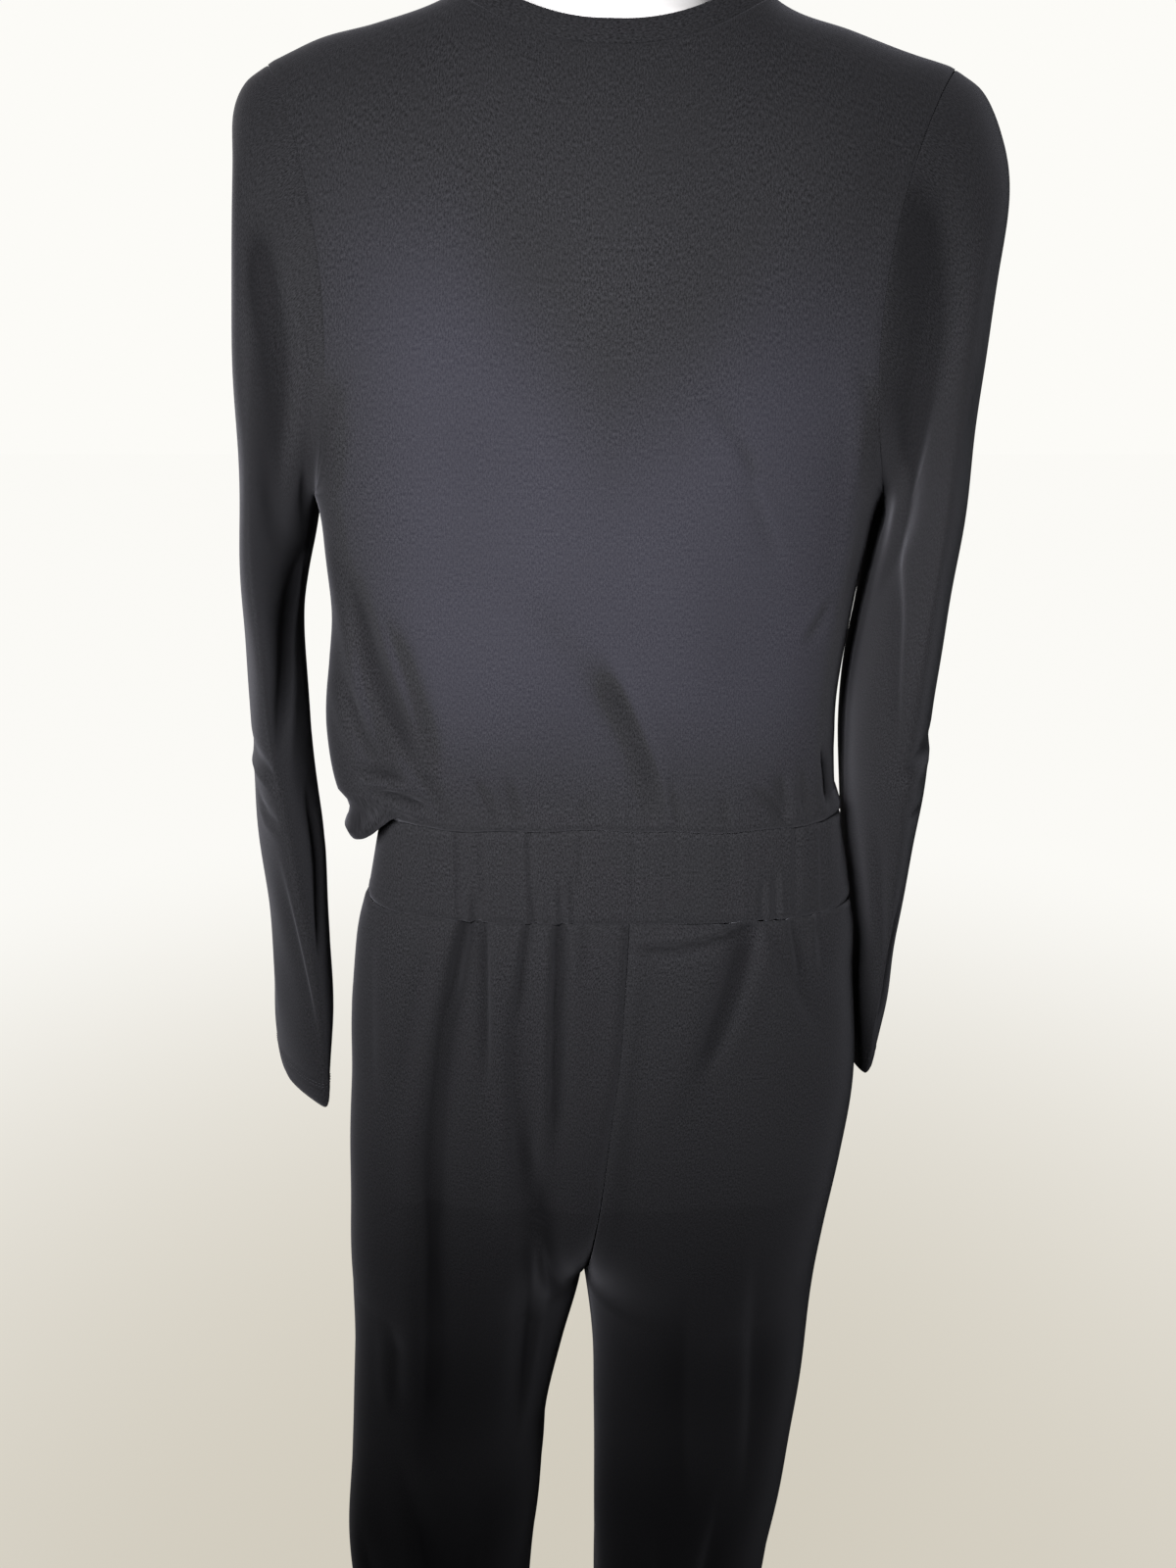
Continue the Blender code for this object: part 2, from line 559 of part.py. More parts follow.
def back_bodice_grid(places):
    """The back: one grid from the waist seam to the shoulder and neck seams."""
    rows = blouse_rows(places, "back") + body_rows(places, "back")
    (left_tip_x, left_tip_z), (right_tip_x, right_tip_z) = map(shoulder_tip, ARMHOLE)
    top_x = np.where(places > 0, places * left_tip_x, places * right_tip_x)
    top = np.where(np.abs(places) < neck_place() - 1e-6,
                   neck_seam_height(top_x), ridge_height(top_x))
    tip = np.where(places > 0, left_tip_z, right_tip_z)
    for step in range(1, ARMHOLE_STEPS + 1):
        left_x, left_z = armhole_edge("left", "back", step)
        right_x, right_z = armhole_edge("right", "back", step)
        x = np.where(places > 0, places * left_x, places * right_x)
        edge = np.where(places > 0, left_z, right_z)
        share_up = (edge - ARMPIT_HEIGHT) / (tip - ARMPIT_HEIGHT)
        z = ARMPIT_HEIGHT + share_up * (top - ARMPIT_HEIGHT)
        rows.append(np.stack([x, torso_depth(x, z, "back"), z], axis=-1))
    points = np.array(rows)
    sink_folds(points, "back", BODICE_BACK_FOLDS, places)
    return points


def v_edge(sleeve, step):
    """One point of the V neck seam on one half, from its point up to the shoulder."""
    start = v_centre_height(V_STEP)
    climb = (step - V_STEP) / (ARMHOLE_STEPS - V_STEP)
    neck = neck_point(sleeve)
    shoulder = float(ridge_height(np.array(neck if sleeve == "left" else -neck)))
    return neck * climb + V_BOW * math.sin(math.pi * climb), start + (shoulder - start) * climb


def front_bodice_grid(places):
    """The front: like the back, with its middle column doubled and parted by the V."""
    centre = len(places) // 2
    halves = np.insert(places, centre, 0.0)
    signs = np.where(np.arange(len(halves)) <= centre, -1, 1)
    rows = [np.insert(row, centre, row[centre], axis=0)
            for row in blouse_rows(places, "front") + body_rows(places, "front")]
    for step in range(1, ARMHOLE_STEPS + 1):
        row = np.zeros((len(halves), 3))
        for sign, sleeve in ((-1, "right"), (1, "left")):
            half = signs == sign
            out = np.abs(halves[half])
            edge_x, edge_z = armhole_edge(sleeve, "front", step)
            if step > V_STEP:
                neck_x, neck_z = v_edge(sleeve, step)
                climb = ((step - V_STEP) / (ARMHOLE_STEPS - V_STEP)) ** SHOULDER_EASE
            else:
                neck_x, neck_z, climb = 0.0, v_centre_height(step), 0.0
            x = sign * (neck_x + (edge_x - neck_x) * out)
            z = neck_z + (edge_z - neck_z) * out
            z = z + (ridge_height(x) - z) * climb
            row[half] = np.stack([x, torso_depth(x, z, "front"), z], axis=-1)
        rows.append(row)
    points = np.array(rows)
    sink_folds(points, "front", BODICE_FRONT_FOLDS, halves)
    return points, centre


def v_centre_height(step):
    """Height of the front's middle on the rows between the armpit and the V's point."""
    left, right = (armhole_edge(sleeve, "front", step)[1] for sleeve in ARMHOLE)
    return (left + right) / 2


def bodice_normals(back, front, centre, places):
    """Outward normals of the two bodice grids, made equal or level where they are sewn."""
    back_normals = -grid_normals(back)
    whole = grid_normals(np.delete(front, centre, axis=1))
    front_normals = np.insert(whole, centre, whole[:, centre], axis=1)
    above = slice(V_ROW + 1, None)
    front_normals[above, :centre + 1] = grid_normals(front[:, :centre + 1])[above]
    front_normals[above, centre + 1:] = grid_normals(front[:, centre + 1:])[above]
    for normals in (back_normals, front_normals):
        normals[0, :, 2] = 0.0
    below_pit = slice(0, PIT_ROW + 1)
    for side in (0, -1):
        share(back_normals[below_pit, side], front_normals[below_pit, side])
    back_normals[-1] = torso_normal(back[-1, :, 0], back[-1, :, 2], "back")
    back_normals[-1, :, 1] *= np.clip((1 - np.abs(places) / neck_place()) * NECK_TURN, 0, 1)
    front_normals[-1, :, 1] = 0.0
    front_normals[-2, centre:centre + 2, 1] *= 0.5
    return unit(back_normals), unit(front_normals)


def bodice_seams(back, front, centre, places):
    """Points and normals along both armholes and clockwise round the neck from the left.

    back and front each hold a grid of points and the grid of its normals.
    """
    edges = {}
    for sleeve, side in (("left", -1), ("right", 0)):
        edges[sleeve] = {"back": [grid[PIT_ROW:, side].copy() for grid in back],
                         "front": [grid[PIT_ROW:, side].copy() for grid in front]}
    neck = int(np.argmin(np.abs(places + neck_place())))
    down_right = slice(len(front[0]) - 2, V_ROW, -1)
    up_left = slice(V_ROW, len(front[0]) - 1)
    edges["neck"] = [np.concatenate([behind[-1, neck:len(places) - neck][::-1],
                                     before[down_right, centre],
                                     before[up_left, centre + 1]])
                     for behind, before in zip(back, front)]
    return edges


def front_quads(rows, width, centre):
    """Cells of the front: joined along the middle up to the V's point, open above it."""
    cells = grid_quads(rows, width)
    cells = cells[cells[:, 0] % width != centre]
    merged = np.arange(rows * width)
    doubled = np.arange(V_ROW + 1) * width + centre + 1
    merged[doubled] = doubled - 1
    return merged[cells]


def build_bodice():
    """Back and front bodice; returns the edges that the sleeves and neckband are sewn to."""
    places = column_places()
    back = back_bodice_grid(places)
    front, centre = front_bodice_grid(places)
    back_normals, front_normals = bodice_normals(back, front, centre, places)
    edges = bodice_seams((back, back_normals), (front, front_normals), centre, places)
    for points in (back, front):
        trim(points[:PIT_ROW + 1], 1, "first")
        trim(points[:PIT_ROW + 1], 1, "last")
        trim(points, 0, "last")
    trim(front[V_ROW + 1:, centre + 1:], 1, "first")
    trim(front[V_ROW + 1:, :centre + 1], 1, "last")
    front[V_ROW, centre:centre + 2, 2] -= SEAM_GAP / 2
    cloth_wall("bodice_back", back, back_normals,
               grid_quads(*back.shape[:2])[:, ::-1], JERSEY, jersey)
    cloth_wall("bodice_front", front, front_normals,
               front_quads(*front.shape[:2], centre), JERSEY, jersey)
    return edges


def build_neckband(seam, normals):
    """The folded band: a narrow ring that stands up from the whole neck seam.

    The seam runs from the left neck point over the back to the right one, down the right
    edge of the V and up its left edge. The band is mitred at the V's point.
    """
    up = np.array([0.0, 0.0, 1.0])
    along = unit(np.roll(seam, -1, axis=0) - np.roll(seam, 1, axis=0))
    point = int(np.argmin(seam[:, 2]))
    span = np.max(seam[:, 2]) - seam[point, 2]
    stand = NECKBAND_STAND * ((seam[:, 2:] - seam[point, 2]) / span) ** 2
    inward = unit(np.cross(normals, along) + stand * up)
    inward[point] = up
    width = np.full((len(seam), 1), NECKBAND_WIDTH)
    lean = math.atan2(neck_point("left"), span)
    width[point] = NECKBAND_WIDTH / math.sin(lean)
    lines = np.array([seam + inward * SEAM_GAP, seam + inward * width])
    facing = np.broadcast_to(normals, lines.shape).copy()
    lines = lines + facing * NECKBAND_LIFT
    quads = grid_quads(*lines.shape[:2], closed=True)
    cloth_wall("neckband", lines, facing, quads, BAND, jersey)


def sleeve_grid(sleeve, edges):
    """Rings of a sleeve from its armhole to its hem; columns run round from the armpit.

    The first ring is the armhole itself. The others are ovals between an outer and an
    inner line, first upright, then swinging down until the sleeve hangs.
    """
    sign = 1 if sleeve == "left" else -1
    table = SLEEVE[sleeve]
    values = {name: column(table, SLEEVE_COLUMNS, name) for name in SLEEVE_COLUMNS}
    back, front = edges["back"][0], edges["front"][0]
    first = np.concatenate([back, front[-2:0:-1]])
    first_normals = np.concatenate([edges["back"][1], edges["front"][1][-2:0:-1]])
    down = np.array([0.0, 0.0, -1.0])
    first_normals[0] = down
    first_normals[[1, -1]] = unit(first_normals[[1, -1]] + down)
    first = first + np.array([sign * SLEEVE_GAP, 0, 0])
    angle = 2 * math.pi * np.arange(2 * ARMHOLE_STEPS) / (2 * ARMHOLE_STEPS)
    up, back_to_front = -np.cos(angle), np.sin(angle)
    rings = [first]
    for i in range(1, len(table)):
        flat = min(max(i - SLEEVE_FLAT_FROM, 0) / SLEEVE_FLAT_RINGS, 1)
        lens = np.sign(up) * np.abs(up) ** (1 + (SLEEVE_FLATNESS - 1) * flat)
        half_x = (values["outer_side"][i] - values["inner_side"][i]) / 2
        half_z = (values["outer_height"][i] - values["inner_height"][i]) / 2
        across = half_x * lens
        along = values["half_depth"][i] * back_to_front
        turn = math.radians(values["turn"][i])
        x = (values["outer_side"][i] + values["inner_side"][i]) / 2
        x = x + across * math.cos(turn) - along * math.sin(turn)
        y = values["middle"][i] + across * math.sin(turn) + along * math.cos(turn)
        z = (values["outer_height"][i] + values["inner_height"][i]) / 2 + half_z * lens
        inset = armhole(sleeve, "front_inset") * values["inset"][i]
        x = x - inset * np.abs(back_to_front) ** ARMHOLE_CURVE
        rings.append(np.stack([sign * x, y, z], axis=-1))
    points = np.array(rings)
    normals = grid_normals(points, closed=True) * sign
    normals[0] = first_normals
    return points, normals


def build_sleeves(edges):
    """Both sleeves, each one tube of cloth sewn to its armhole and open at its hem."""
    for sleeve in ("left", "right"):
        points, normals = sleeve_grid(sleeve, edges[sleeve])
        quads = grid_quads(*points.shape[:2], closed=True)
        if sleeve == "right":
            quads = quads[:, ::-1]
        cloth_wall("sleeve_" + sleeve, points, normals, quads, JERSEY, jersey)


def build_waistband():
    """The elastic casing: a ruched front and back, meeting at the side seams."""
    heights = np.array([WAIST_BOTTOM, (WAIST_BOTTOM + WAIST_TOP) / 2, WAIST_TOP])
    angle = np.linspace(-QUARTER_TURN, QUARTER_TURN, WAISTBAND_STEPS + 1)
    places = np.sin(angle)
    for face in ("back", "front"):
        power = BACK_SQUARENESS if face == "back" else FRONT_SQUARENESS
        rows = []
        for height in heights:
            middle, reach, left, right = (
                read(WAISTBAND, WAISTBAND_COLUMNS, name, height)
                for name in ("side", face, "left", "right"))
            wave = 1 + gather_wave(angle / QUARTER_TURN, np.cos(angle) ** GATHER_FADE) * (
                GATHER_DEPTH / abs(reach))
            depth = (1 - np.abs(places) ** power) ** (1 / power) * (reach - middle) * wave
            side = np.where(places > 0, places * left, places * right)
            rows.append(np.stack([side, middle + depth, np.full_like(side, height)], axis=-1))
        points = np.array(rows)
        normals = grid_normals(points) * (-1 if face == "back" else 1)
        normals[:, 0] = (-1, 0, 0)
        normals[:, -1] = (1, 0, 0)
        normals[..., 2] = 0
        normals = unit(normals)
        trim(points, 1, "first")
        trim(points, 1, "last")
        quads = grid_quads(*points.shape[:2])
        quads = quads[:, ::-1] if face == "back" else quads
        cloth_wall("waistband_" + face, points, normals, quads, CASING, jersey)


def leg_panel_grid(leg, face):
    """One trouser panel: rows from the hem up, columns from the side seam to the inner edge.

    Under the crotch a row is half of the leg's oval. Above the seat it is a quarter of
    the hip's oval. Between them the side turns from one into the other gradually, and
    the centre seam runs under the body to the crotch along a quarter circle.
    """
    sign = 1 if leg == "left" else -1
    steps = np.linspace(0, 1, LEG_PANEL_COLUMNS + 1)
    leg_heights = np.linspace(HEM_HEIGHT, CROTCH_HEIGHT - LEG_DROP, LEG_ROWS_LEG)
    seat = np.sin(np.linspace(QUARTER_TURN, 0, LEG_ROWS_SEAT + 1))
    seat_heights = SEAT_TOP - (SEAT_TOP - CROTCH_HEIGHT) * seat
    hip_heights = np.linspace(SEAT_TOP, LEG_TOP, LEG_ROWS_HIP)[1:]
    rows = []
    for height in np.concatenate([leg_heights, seat_heights, hip_heights]):
        under = height < CROTCH_HEIGHT
        if under:
            outer, inner, reach, middle = (
                read(LEG[leg], LEG_COLUMNS, name, height)
                for name in ("outer", "inner", face, "side"))
        else:
            outer, reach, middle, seam = (
                read(HIP, HIP_COLUMNS, name, height) for name in (leg, face, "side", "seam"))
            inner = sign * seam + SEAM_GAP / 2
        power = 2 / LEG_SQUARENESS
        leg_angle = math.pi * steps
        across = np.sign(np.cos(leg_angle)) * np.abs(np.cos(leg_angle)) ** power
        leg_x = (outer + inner) / 2 + (outer - inner) / 2 * across
        low = reach if under else read(LEG[leg], LEG_COLUMNS, face, CROTCH_HEIGHT)
        leg_y = middle + (low - middle) * np.sin(leg_angle) ** power
        if under:
            x, y = leg_x, leg_y
        else:
            squareness = 2 / (BACK_SQUARENESS if face == "back" else FRONT_SQUARENESS)
            hip_angle = QUARTER_TURN * steps
            hip_x = inner + (outer - inner) * np.cos(hip_angle) ** squareness
            hip_y = middle + (reach - middle) * np.sin(hip_angle) ** squareness
            turned = np.clip((SEAT_TOP - height) / (SEAT_TOP - CROTCH_HEIGHT), 0, 1)
            at_side = turned * turned * (3 - 2 * turned)
            at_centre = 1 - (1 - turned ** CROTCH_CURVE) ** (1 / CROTCH_CURVE)
            blend = at_side + (at_centre - at_side) * steps ** 2
            x = hip_x * (1 - blend) + leg_x * blend
            y = hip_y * (1 - blend) + leg_y * blend
        rows.append(np.stack([sign * x, y, np.full_like(x, height)], axis=-1))
    points = np.array(rows)
    ease = np.sqrt(np.clip(np.sin(math.pi * steps), 0, 1))
    ease = np.where(points[..., 2] > SEAT_TOP, np.minimum(1, steps / FOLDS_FULL_AT), ease)
    folds = LEG_BACK_FOLDS if face == "back" else LEG_FRONT_FOLDS
    inward = -1 if face == "back" else 1
    points[..., 1] += inward * ease * fold_depth(points[..., 0], points[..., 2], folds)
    return points


def build_legs():
    """Four trouser panels, sewn at the side seams, inner seams and centre seam."""
    grids = {(leg, face): leg_panel_grid(leg, face)
             for leg in ("left", "right") for face in ("back", "front")}
    normals = {}
    for (leg, face), points in grids.items():
        flip = (1 if leg == "left" else -1) * (1 if face == "back" else -1)
        normals[leg, face] = grid_normals(points) * flip
    seat = LEG_ROWS_LEG
    for leg in ("left", "right"):
        share(normals[leg, "back"][:, 0], normals[leg, "front"][:, 0])
        share(normals[leg, "back"][:seat, -1], normals[leg, "front"][:seat, -1])
    for face in ("back", "front"):
        share(normals["left", face][seat:, -1], normals["right", face][seat:, -1])
    crotch = np.array([0.0, 0.0, -1.0])
    for key, points in grids.items():
        normals[key][seat, -1] = crotch
        normals[key][-1, :, 2] = 0
        normals[key] = unit(normals[key])
        trim(points, 1, "first")
        trim(points, 1, "last")
        leg, face = key
        flip = (leg == "left") == (face == "back")
        quads = grid_quads(*points.shape[:2])
        quads = quads if flip else quads[:, ::-1]
        cloth_wall(f"leg_{face}_{leg}", points, normals[key], quads, JERSEY, jersey)


# ---------------------------------------------------------------- form and stand
def build_form():
    """The limbless form: one smooth closed body from the neck to the top of the thighs."""
    angle = 2 * math.pi * np.arange(FORM_SIDES) / FORM_SIDES
    rings = []
    for height, width, back, front, squareness in FORM:
        power = 2 / squareness
        x = width * np.sign(np.cos(angle)) * np.abs(np.cos(angle)) ** power
        middle = (back + front) / 2
        y = middle + (back - front) / 2 * np.sign(np.sin(angle)) * np.abs(np.sin(angle)) ** power
        rings.append(np.stack([x, y, np.full_like(x, height)], axis=-1))
    points = np.array(rings).reshape(-1, 3)
    faces = [tuple(quad) for quad in grid_quads(len(FORM), FORM_SIDES, closed=True).tolist()]
    faces.append(tuple(reversed(range(FORM_SIDES))))
    faces.append(tuple(range(len(points) - FORM_SIDES, len(points))))
    add_mesh("form_torso", points, faces, form_skin)


def add_cylinder(name, radius, bottom, top, material, edge=0.0):
    """An upright round bar or plate, with its rim edges eased by a bevel."""
    bpy.ops.mesh.primitive_cylinder_add(vertices=ROUND_SIDES, radius=radius,
                                        depth=top - bottom, location=(0, 0, (top + bottom) / 2))
    thing = bpy.context.object
    thing.name = thing.data.name = name
    for owner in list(thing.users_collection):
        owner.objects.unlink(thing)
    collection.objects.link(thing)
    thing.data.materials.append(material)
    if edge:
        bevel = thing.modifiers.new("eased edge", "BEVEL")
        bevel.width = edge
        bevel.segments = 2
    thing.data.shade_smooth()
    thing.data.set_sharp_from_angle(angle=math.radians(40))
    return thing


def build_stand():
    """A round base plate, a socket on it and the pole up to the form."""
    add_cylinder("stand_base", BASE_RADIUS, 0.0, BASE_THICKNESS, enamel, BASE_EDGE)
    socket_bottom = BASE_THICKNESS + REST_GAP
    add_cylinder("stand_socket", SOCKET_RADIUS, socket_bottom,
                 socket_bottom + SOCKET_HEIGHT, steel, BASE_EDGE)
    pole_bottom = socket_bottom + SOCKET_HEIGHT + REST_GAP
    add_cylinder("stand_pole", POLE_RADIUS, pole_bottom, FORM[0][0] - REST_GAP, steel)


for old in list(bpy.data.objects):
    bpy.data.objects.remove(old, do_unlink=True)
collection = bpy.data.collections.new("jumpsuit_on_dress_form")
bpy.context.scene.collection.children.link(collection)
jersey = make_material("black jersey", (0.030, 0.030, 0.033), 0.90)
form_skin = make_material("white form skin", (0.85, 0.85, 0.84), 0.45)
steel = make_material("brushed steel", (0.60, 0.60, 0.61), 0.35, 1.0)
enamel = make_material("white enamel", (0.80, 0.80, 0.79), 0.40)

armholes = build_bodice()
build_neckband(*armholes.pop("neck"))
build_sleeves(armholes)
build_waistband()
build_legs()
build_form()
build_stand()
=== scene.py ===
"""Looks of a black long-sleeved jersey jumpsuit that stands on a limbless dress form.

Metres, +Z up, floor at z = 0. The pole stands on the origin, the wearer's left is +X, the
front faces -Y and the back +Y. Every cut piece of cloth is one thin shell of its own.
"""
import math

import bpy
import numpy as np
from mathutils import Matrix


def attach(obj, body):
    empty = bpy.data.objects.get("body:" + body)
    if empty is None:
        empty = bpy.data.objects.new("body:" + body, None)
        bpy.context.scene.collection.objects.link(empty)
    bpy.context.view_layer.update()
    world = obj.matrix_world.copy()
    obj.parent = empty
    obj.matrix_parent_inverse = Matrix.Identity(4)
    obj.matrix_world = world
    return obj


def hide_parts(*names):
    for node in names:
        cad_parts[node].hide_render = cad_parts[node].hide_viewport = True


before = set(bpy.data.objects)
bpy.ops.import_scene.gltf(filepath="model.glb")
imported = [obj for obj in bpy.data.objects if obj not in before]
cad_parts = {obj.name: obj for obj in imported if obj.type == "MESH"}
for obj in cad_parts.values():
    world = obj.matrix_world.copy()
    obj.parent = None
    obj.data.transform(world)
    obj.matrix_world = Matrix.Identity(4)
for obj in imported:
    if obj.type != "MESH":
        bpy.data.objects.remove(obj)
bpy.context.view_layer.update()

# ================================================================ camera, floor and light
# The garment is seen from behind, from head height and close by. It stands on a plain pale
# floor that runs on into a pale surround, under one soft lamp beside the eye and two more
# round its front.
EYE = (0.0145, 0.7600, 1.3000)
LOOKS_DOWN = math.radians(17.5)
LENS = 27.0
SENSOR = 36.0
FLOOR_REACH = 40.0
FLOOR_NEAR_SHADE, FLOOR_FAR = "#cfc9bb", "#fcfbf7"
FLOOR_PAINT = "#4a4844"
FLOOR_FADE = (0.2, 3.0)      # distances from the pole over which the floor's painted shade gives way to its pale far colour
SURROUND_DIM = 0.045         # how strongly the pale surround lights things, next to its look
FLOOR_DIM, FLOOR_LOOK = 0.03, 0.985    # the same for the floor, and how bright it looks


def linear(code):
    """An sRGB hex colour as linear red, green, blue and alpha."""
    value = np.array([int(code[i:i + 2], 16) for i in (1, 3, 5)]) / 255
    value = np.where(value <= 0.04045, value / 12.92, ((value + 0.055) / 1.055) ** 2.4)
    return (*value.tolist(), 1.0)


def add_node(tree, kind, inputs=None, **settings):
    """Add one node. An input given as a socket is linked, and any other value is set."""
    node = tree.nodes.new(kind)
    for name, value in settings.items():
        setattr(node, name, value)
    for name, value in (inputs or {}).items():
        if isinstance(value, bpy.types.NodeSocket):
            tree.links.new(value, node.inputs[name])
        else:
            node.inputs[name].default_value = value
    return node


def new_material(name):
    """A node material: its tree, its Principled shader and the material itself."""
    material = bpy.data.materials.new(name)
    material.use_nodes = True
    tree = material.node_tree
    return tree, tree.nodes["Principled BSDF"], material


def blend_colours(tree, share, first, second):
    """Socket of a colour that turns from the first into the second with the share."""
    mix = add_node(tree, "ShaderNodeMix", {0: share}, data_type="RGBA")
    for socket, value in ((mix.inputs[6], first), (mix.inputs[7], second)):
        if isinstance(value, bpy.types.NodeSocket):
            tree.links.new(value, socket)
        else:
            socket.default_value = linear(value)
    return mix.outputs[2]


def add_lamp(name, place, aim, size, power, colour, spread):
    """A square soft lamp at a place, turned to its aim; the spread is in degrees."""
    data = bpy.data.lights.new(name, "AREA")
    data.size = size
    data.energy = power
    data.color = linear(colour)[:3]
    data.spread = math.radians(spread)
    lamp = bpy.data.objects.new(name, data)
    lamp.location = place
    way = np.array(aim) - np.array(place)
    level = math.hypot(way[0], way[1])
    lamp.rotation_euler = (math.atan2(level, -way[2]), 0, math.atan2(-way[0], way[1]))
    bpy.context.scene.collection.objects.link(lamp)


scene = bpy.context.scene
scene.view_settings.view_transform = "Standard"
eye = bpy.data.cameras.new("eye")
eye.lens = LENS
eye.sensor_fit = "VERTICAL"
eye.sensor_height = SENSOR
eye.sensor_width = SENSOR
camera = bpy.data.objects.new("eye", eye)
camera.location = EYE
camera.rotation_euler = (math.pi / 2 - LOOKS_DOWN, 0, math.pi)
scene.collection.objects.link(camera)
scene.camera = camera

tree, shader, floor_paint = new_material("pale matte floor paint")
place = add_node(tree, "ShaderNodeTexCoord").outputs["Object"]
away = add_node(tree, "ShaderNodeVectorMath", {0: place}, operation="LENGTH").outputs["Value"]
fade = add_node(tree, "ShaderNodeMapRange", {"Value": away, "From Min": FLOOR_FADE[0],
                                             "From Max": FLOOR_FADE[1]},
                interpolation_type="SMOOTHSTEP").outputs["Result"]
shader.inputs["Base Color"].default_value = linear(FLOOR_PAINT)
shader.inputs["Roughness"].default_value = 0.95
shader.inputs["Specular IOR Level"].default_value = 0.1
seen = add_node(tree, "ShaderNodeLightPath").outputs["Is Camera Ray"]
strength = add_node(tree, "ShaderNodeMapRange", {"Value": seen, "To Min": FLOOR_DIM,
                                                 "To Max": FLOOR_LOOK}).outputs["Result"]
tree.links.new(strength, shader.inputs["Emission Strength"])
# The floor's glow is painted darker near the pole and paler far off: painted shade round the
# stand.
tree.links.new(blend_colours(tree, fade, FLOOR_NEAR_SHADE, FLOOR_FAR), shader.inputs["Emission Color"])
bpy.ops.mesh.primitive_plane_add(size=2 * FLOOR_REACH, location=(0, 0, 0))
floor = bpy.context.object
floor.name = "floor"
floor.data.materials.append(floor_paint)

surround = bpy.data.worlds.new("pale surround")
surround.use_nodes = True
scene.world = surround
tree = surround.node_tree
tree.nodes.clear()
seen = add_node(tree, "ShaderNodeLightPath").outputs["Is Camera Ray"]
strength = add_node(tree, "ShaderNodeMapRange", {"Value": seen, "To Min": SURROUND_DIM,
                                                 "To Max": 1.0}).outputs["Result"]
light = add_node(tree, "ShaderNodeBackground", {"Color": linear(FLOOR_FAR),
                                                "Strength": strength})
add_node(tree, "ShaderNodeOutputWorld", {"Surface": light.outputs["Background"]})

for lamp in (("beside the eye", (0.25, 0.78, 1.42), (0, 0.10, 1.18), 0.30, 4.6, "#fbfaff", 85),
             ("at the front left", (1.3, -1.6, 2.1), (0, 0, 0.95), 1.1, 14.0, "#fffaf4", 160),
             ("at the front right", (-1.7, -1.1, 1.5), (0, 0, 0.85), 1.2, 8.0, "#f2f6ff", 160)):
    add_lamp("lamp " + lamp[0], *lamp[1:])

# ================================================================ back bodice
# One piece of black viscose jersey, from the waist seam up to the shoulder and neck seams.
# It hangs almost flat over the form and bags over the waistband at the wearer's left.
JERSEY = 0.0014              # one layer of jersey with its nap
SEAM_GAP = 0.0003            # between two pieces that are sewn together
WAIST_TOP = 1.0570           # seam between bodice and waistband
BODY_START = 1.0750          # where the body sections begin, above the blousing
ARMPIT_HEIGHT = 1.2550
CHEST_HEIGHT = 1.3735        # widest level of the armholes
NECK_HALF = 0.0880           # half the width of the neck seam at the shoulders
NECK_BACK_HEIGHT = 1.4785    # centre back of the neck seam
NECK_BACK_CURVE = 2.2        # power of the back neck curve
SQUARENESS = {"back": 3.0, "front": 2.3}   # powers of the sections: the back is flatter
SHOULDER_FULLNESS = 0.80     # below 1 the cloth rolls over the shoulder more squarely
BUST_RISE = 0.020            # fullness of the front over the form, on each side
BUST_SIDE, BUST_HEIGHT = 0.080, 1.262
BUST_SPREAD = (0.052, 0.062)


def table(text):
    """Columns of a table by name: its first line names them, and every other is a row."""
    names, *rows = text.strip().splitlines()
    return dict(zip(names.split(), np.array([row.split() for row in rows], dtype=float).T))


def crease_rows(text):
    """Rows that describe creases, with their lengths turned from millimetres to metres."""
    rows = np.array([row.split() for row in text.strip().splitlines()], dtype=float)
    rows[:, :-1] /= 1000
    return rows


# At each height, left and right are how far the cloth reaches to the sides, back and front
# are its depths (y), and side is the depth of the side seams.
TORSO = table("""
    height left right back front side
     1.056  .169 .1475   .09 -.096  .03
     1.075 .1745 .1445 .0905 -.101  .03
      1.11  .179  .141 .0915 -.104  .03
     1.155 .1755 .1425 .0925 -.104  .03
     1.185 .1725  .147  .093 -.103 .029
      1.22  .174  .152  .094 -.102 .027
     1.255  .177  .161  .095 -.101 .025
       1.3    .2  .193  .096 -.099 .023
    1.3735  .215  .213  .097 -.093  .02
""")
RIDGE = table("""
    side left_height right_height
       0 1.542   1.54
    .077  1.52  1.518
    .088 1.514  1.511
    .127 1.501  1.498
     .16 1.494 1.4875
     .19 1.482  1.479
""")
ARMHOLE = {
    "left": dict(tip_side=0.190, pit_side=0.177, back_inset=0.027, front_inset=0.033),
    "right": dict(tip_side=0.187, pit_side=0.161, back_inset=0.030, front_inset=0.032),
}
ARMHOLE_CURVE = 1.5          # power of the armholes' inward curve
ARMHOLE_STEPS = 10           # steps from the armpit up to the shoulder tip

# The waistband, whose top the bodice is sewn to, narrows upwards.
WAIST_BOTTOM = 1.0005
WAISTBAND = table("""
    height left right back front side
    1.0005  .16  .159 .0965 -.0985 .025
     1.029 .154 .1535 .0935 -.0945 .027
    1.0567 .148 .1475 .0905  -.092  .03
""")

# The blousing over the waist seam: each row is one step of the cloth from the seam up.
BLOUSE = table("""
    step plain_out plain_up bag_out bag_up
    0     0    0     0     0
    1 .0012 .003 .0045  .005
    2 .0018 .006  .011  .001
    3  .002 .009  .015 -.008
    4 .0018 .012 .0205 -.012
    5 .0012 .015 .0235 -.006
""")
BAG_FROM, BAG_FULL = 0.78, 0.97   # column places between which the bag grows
WAIST_ASPECT = 2.2           # half width of the waist over its half depth

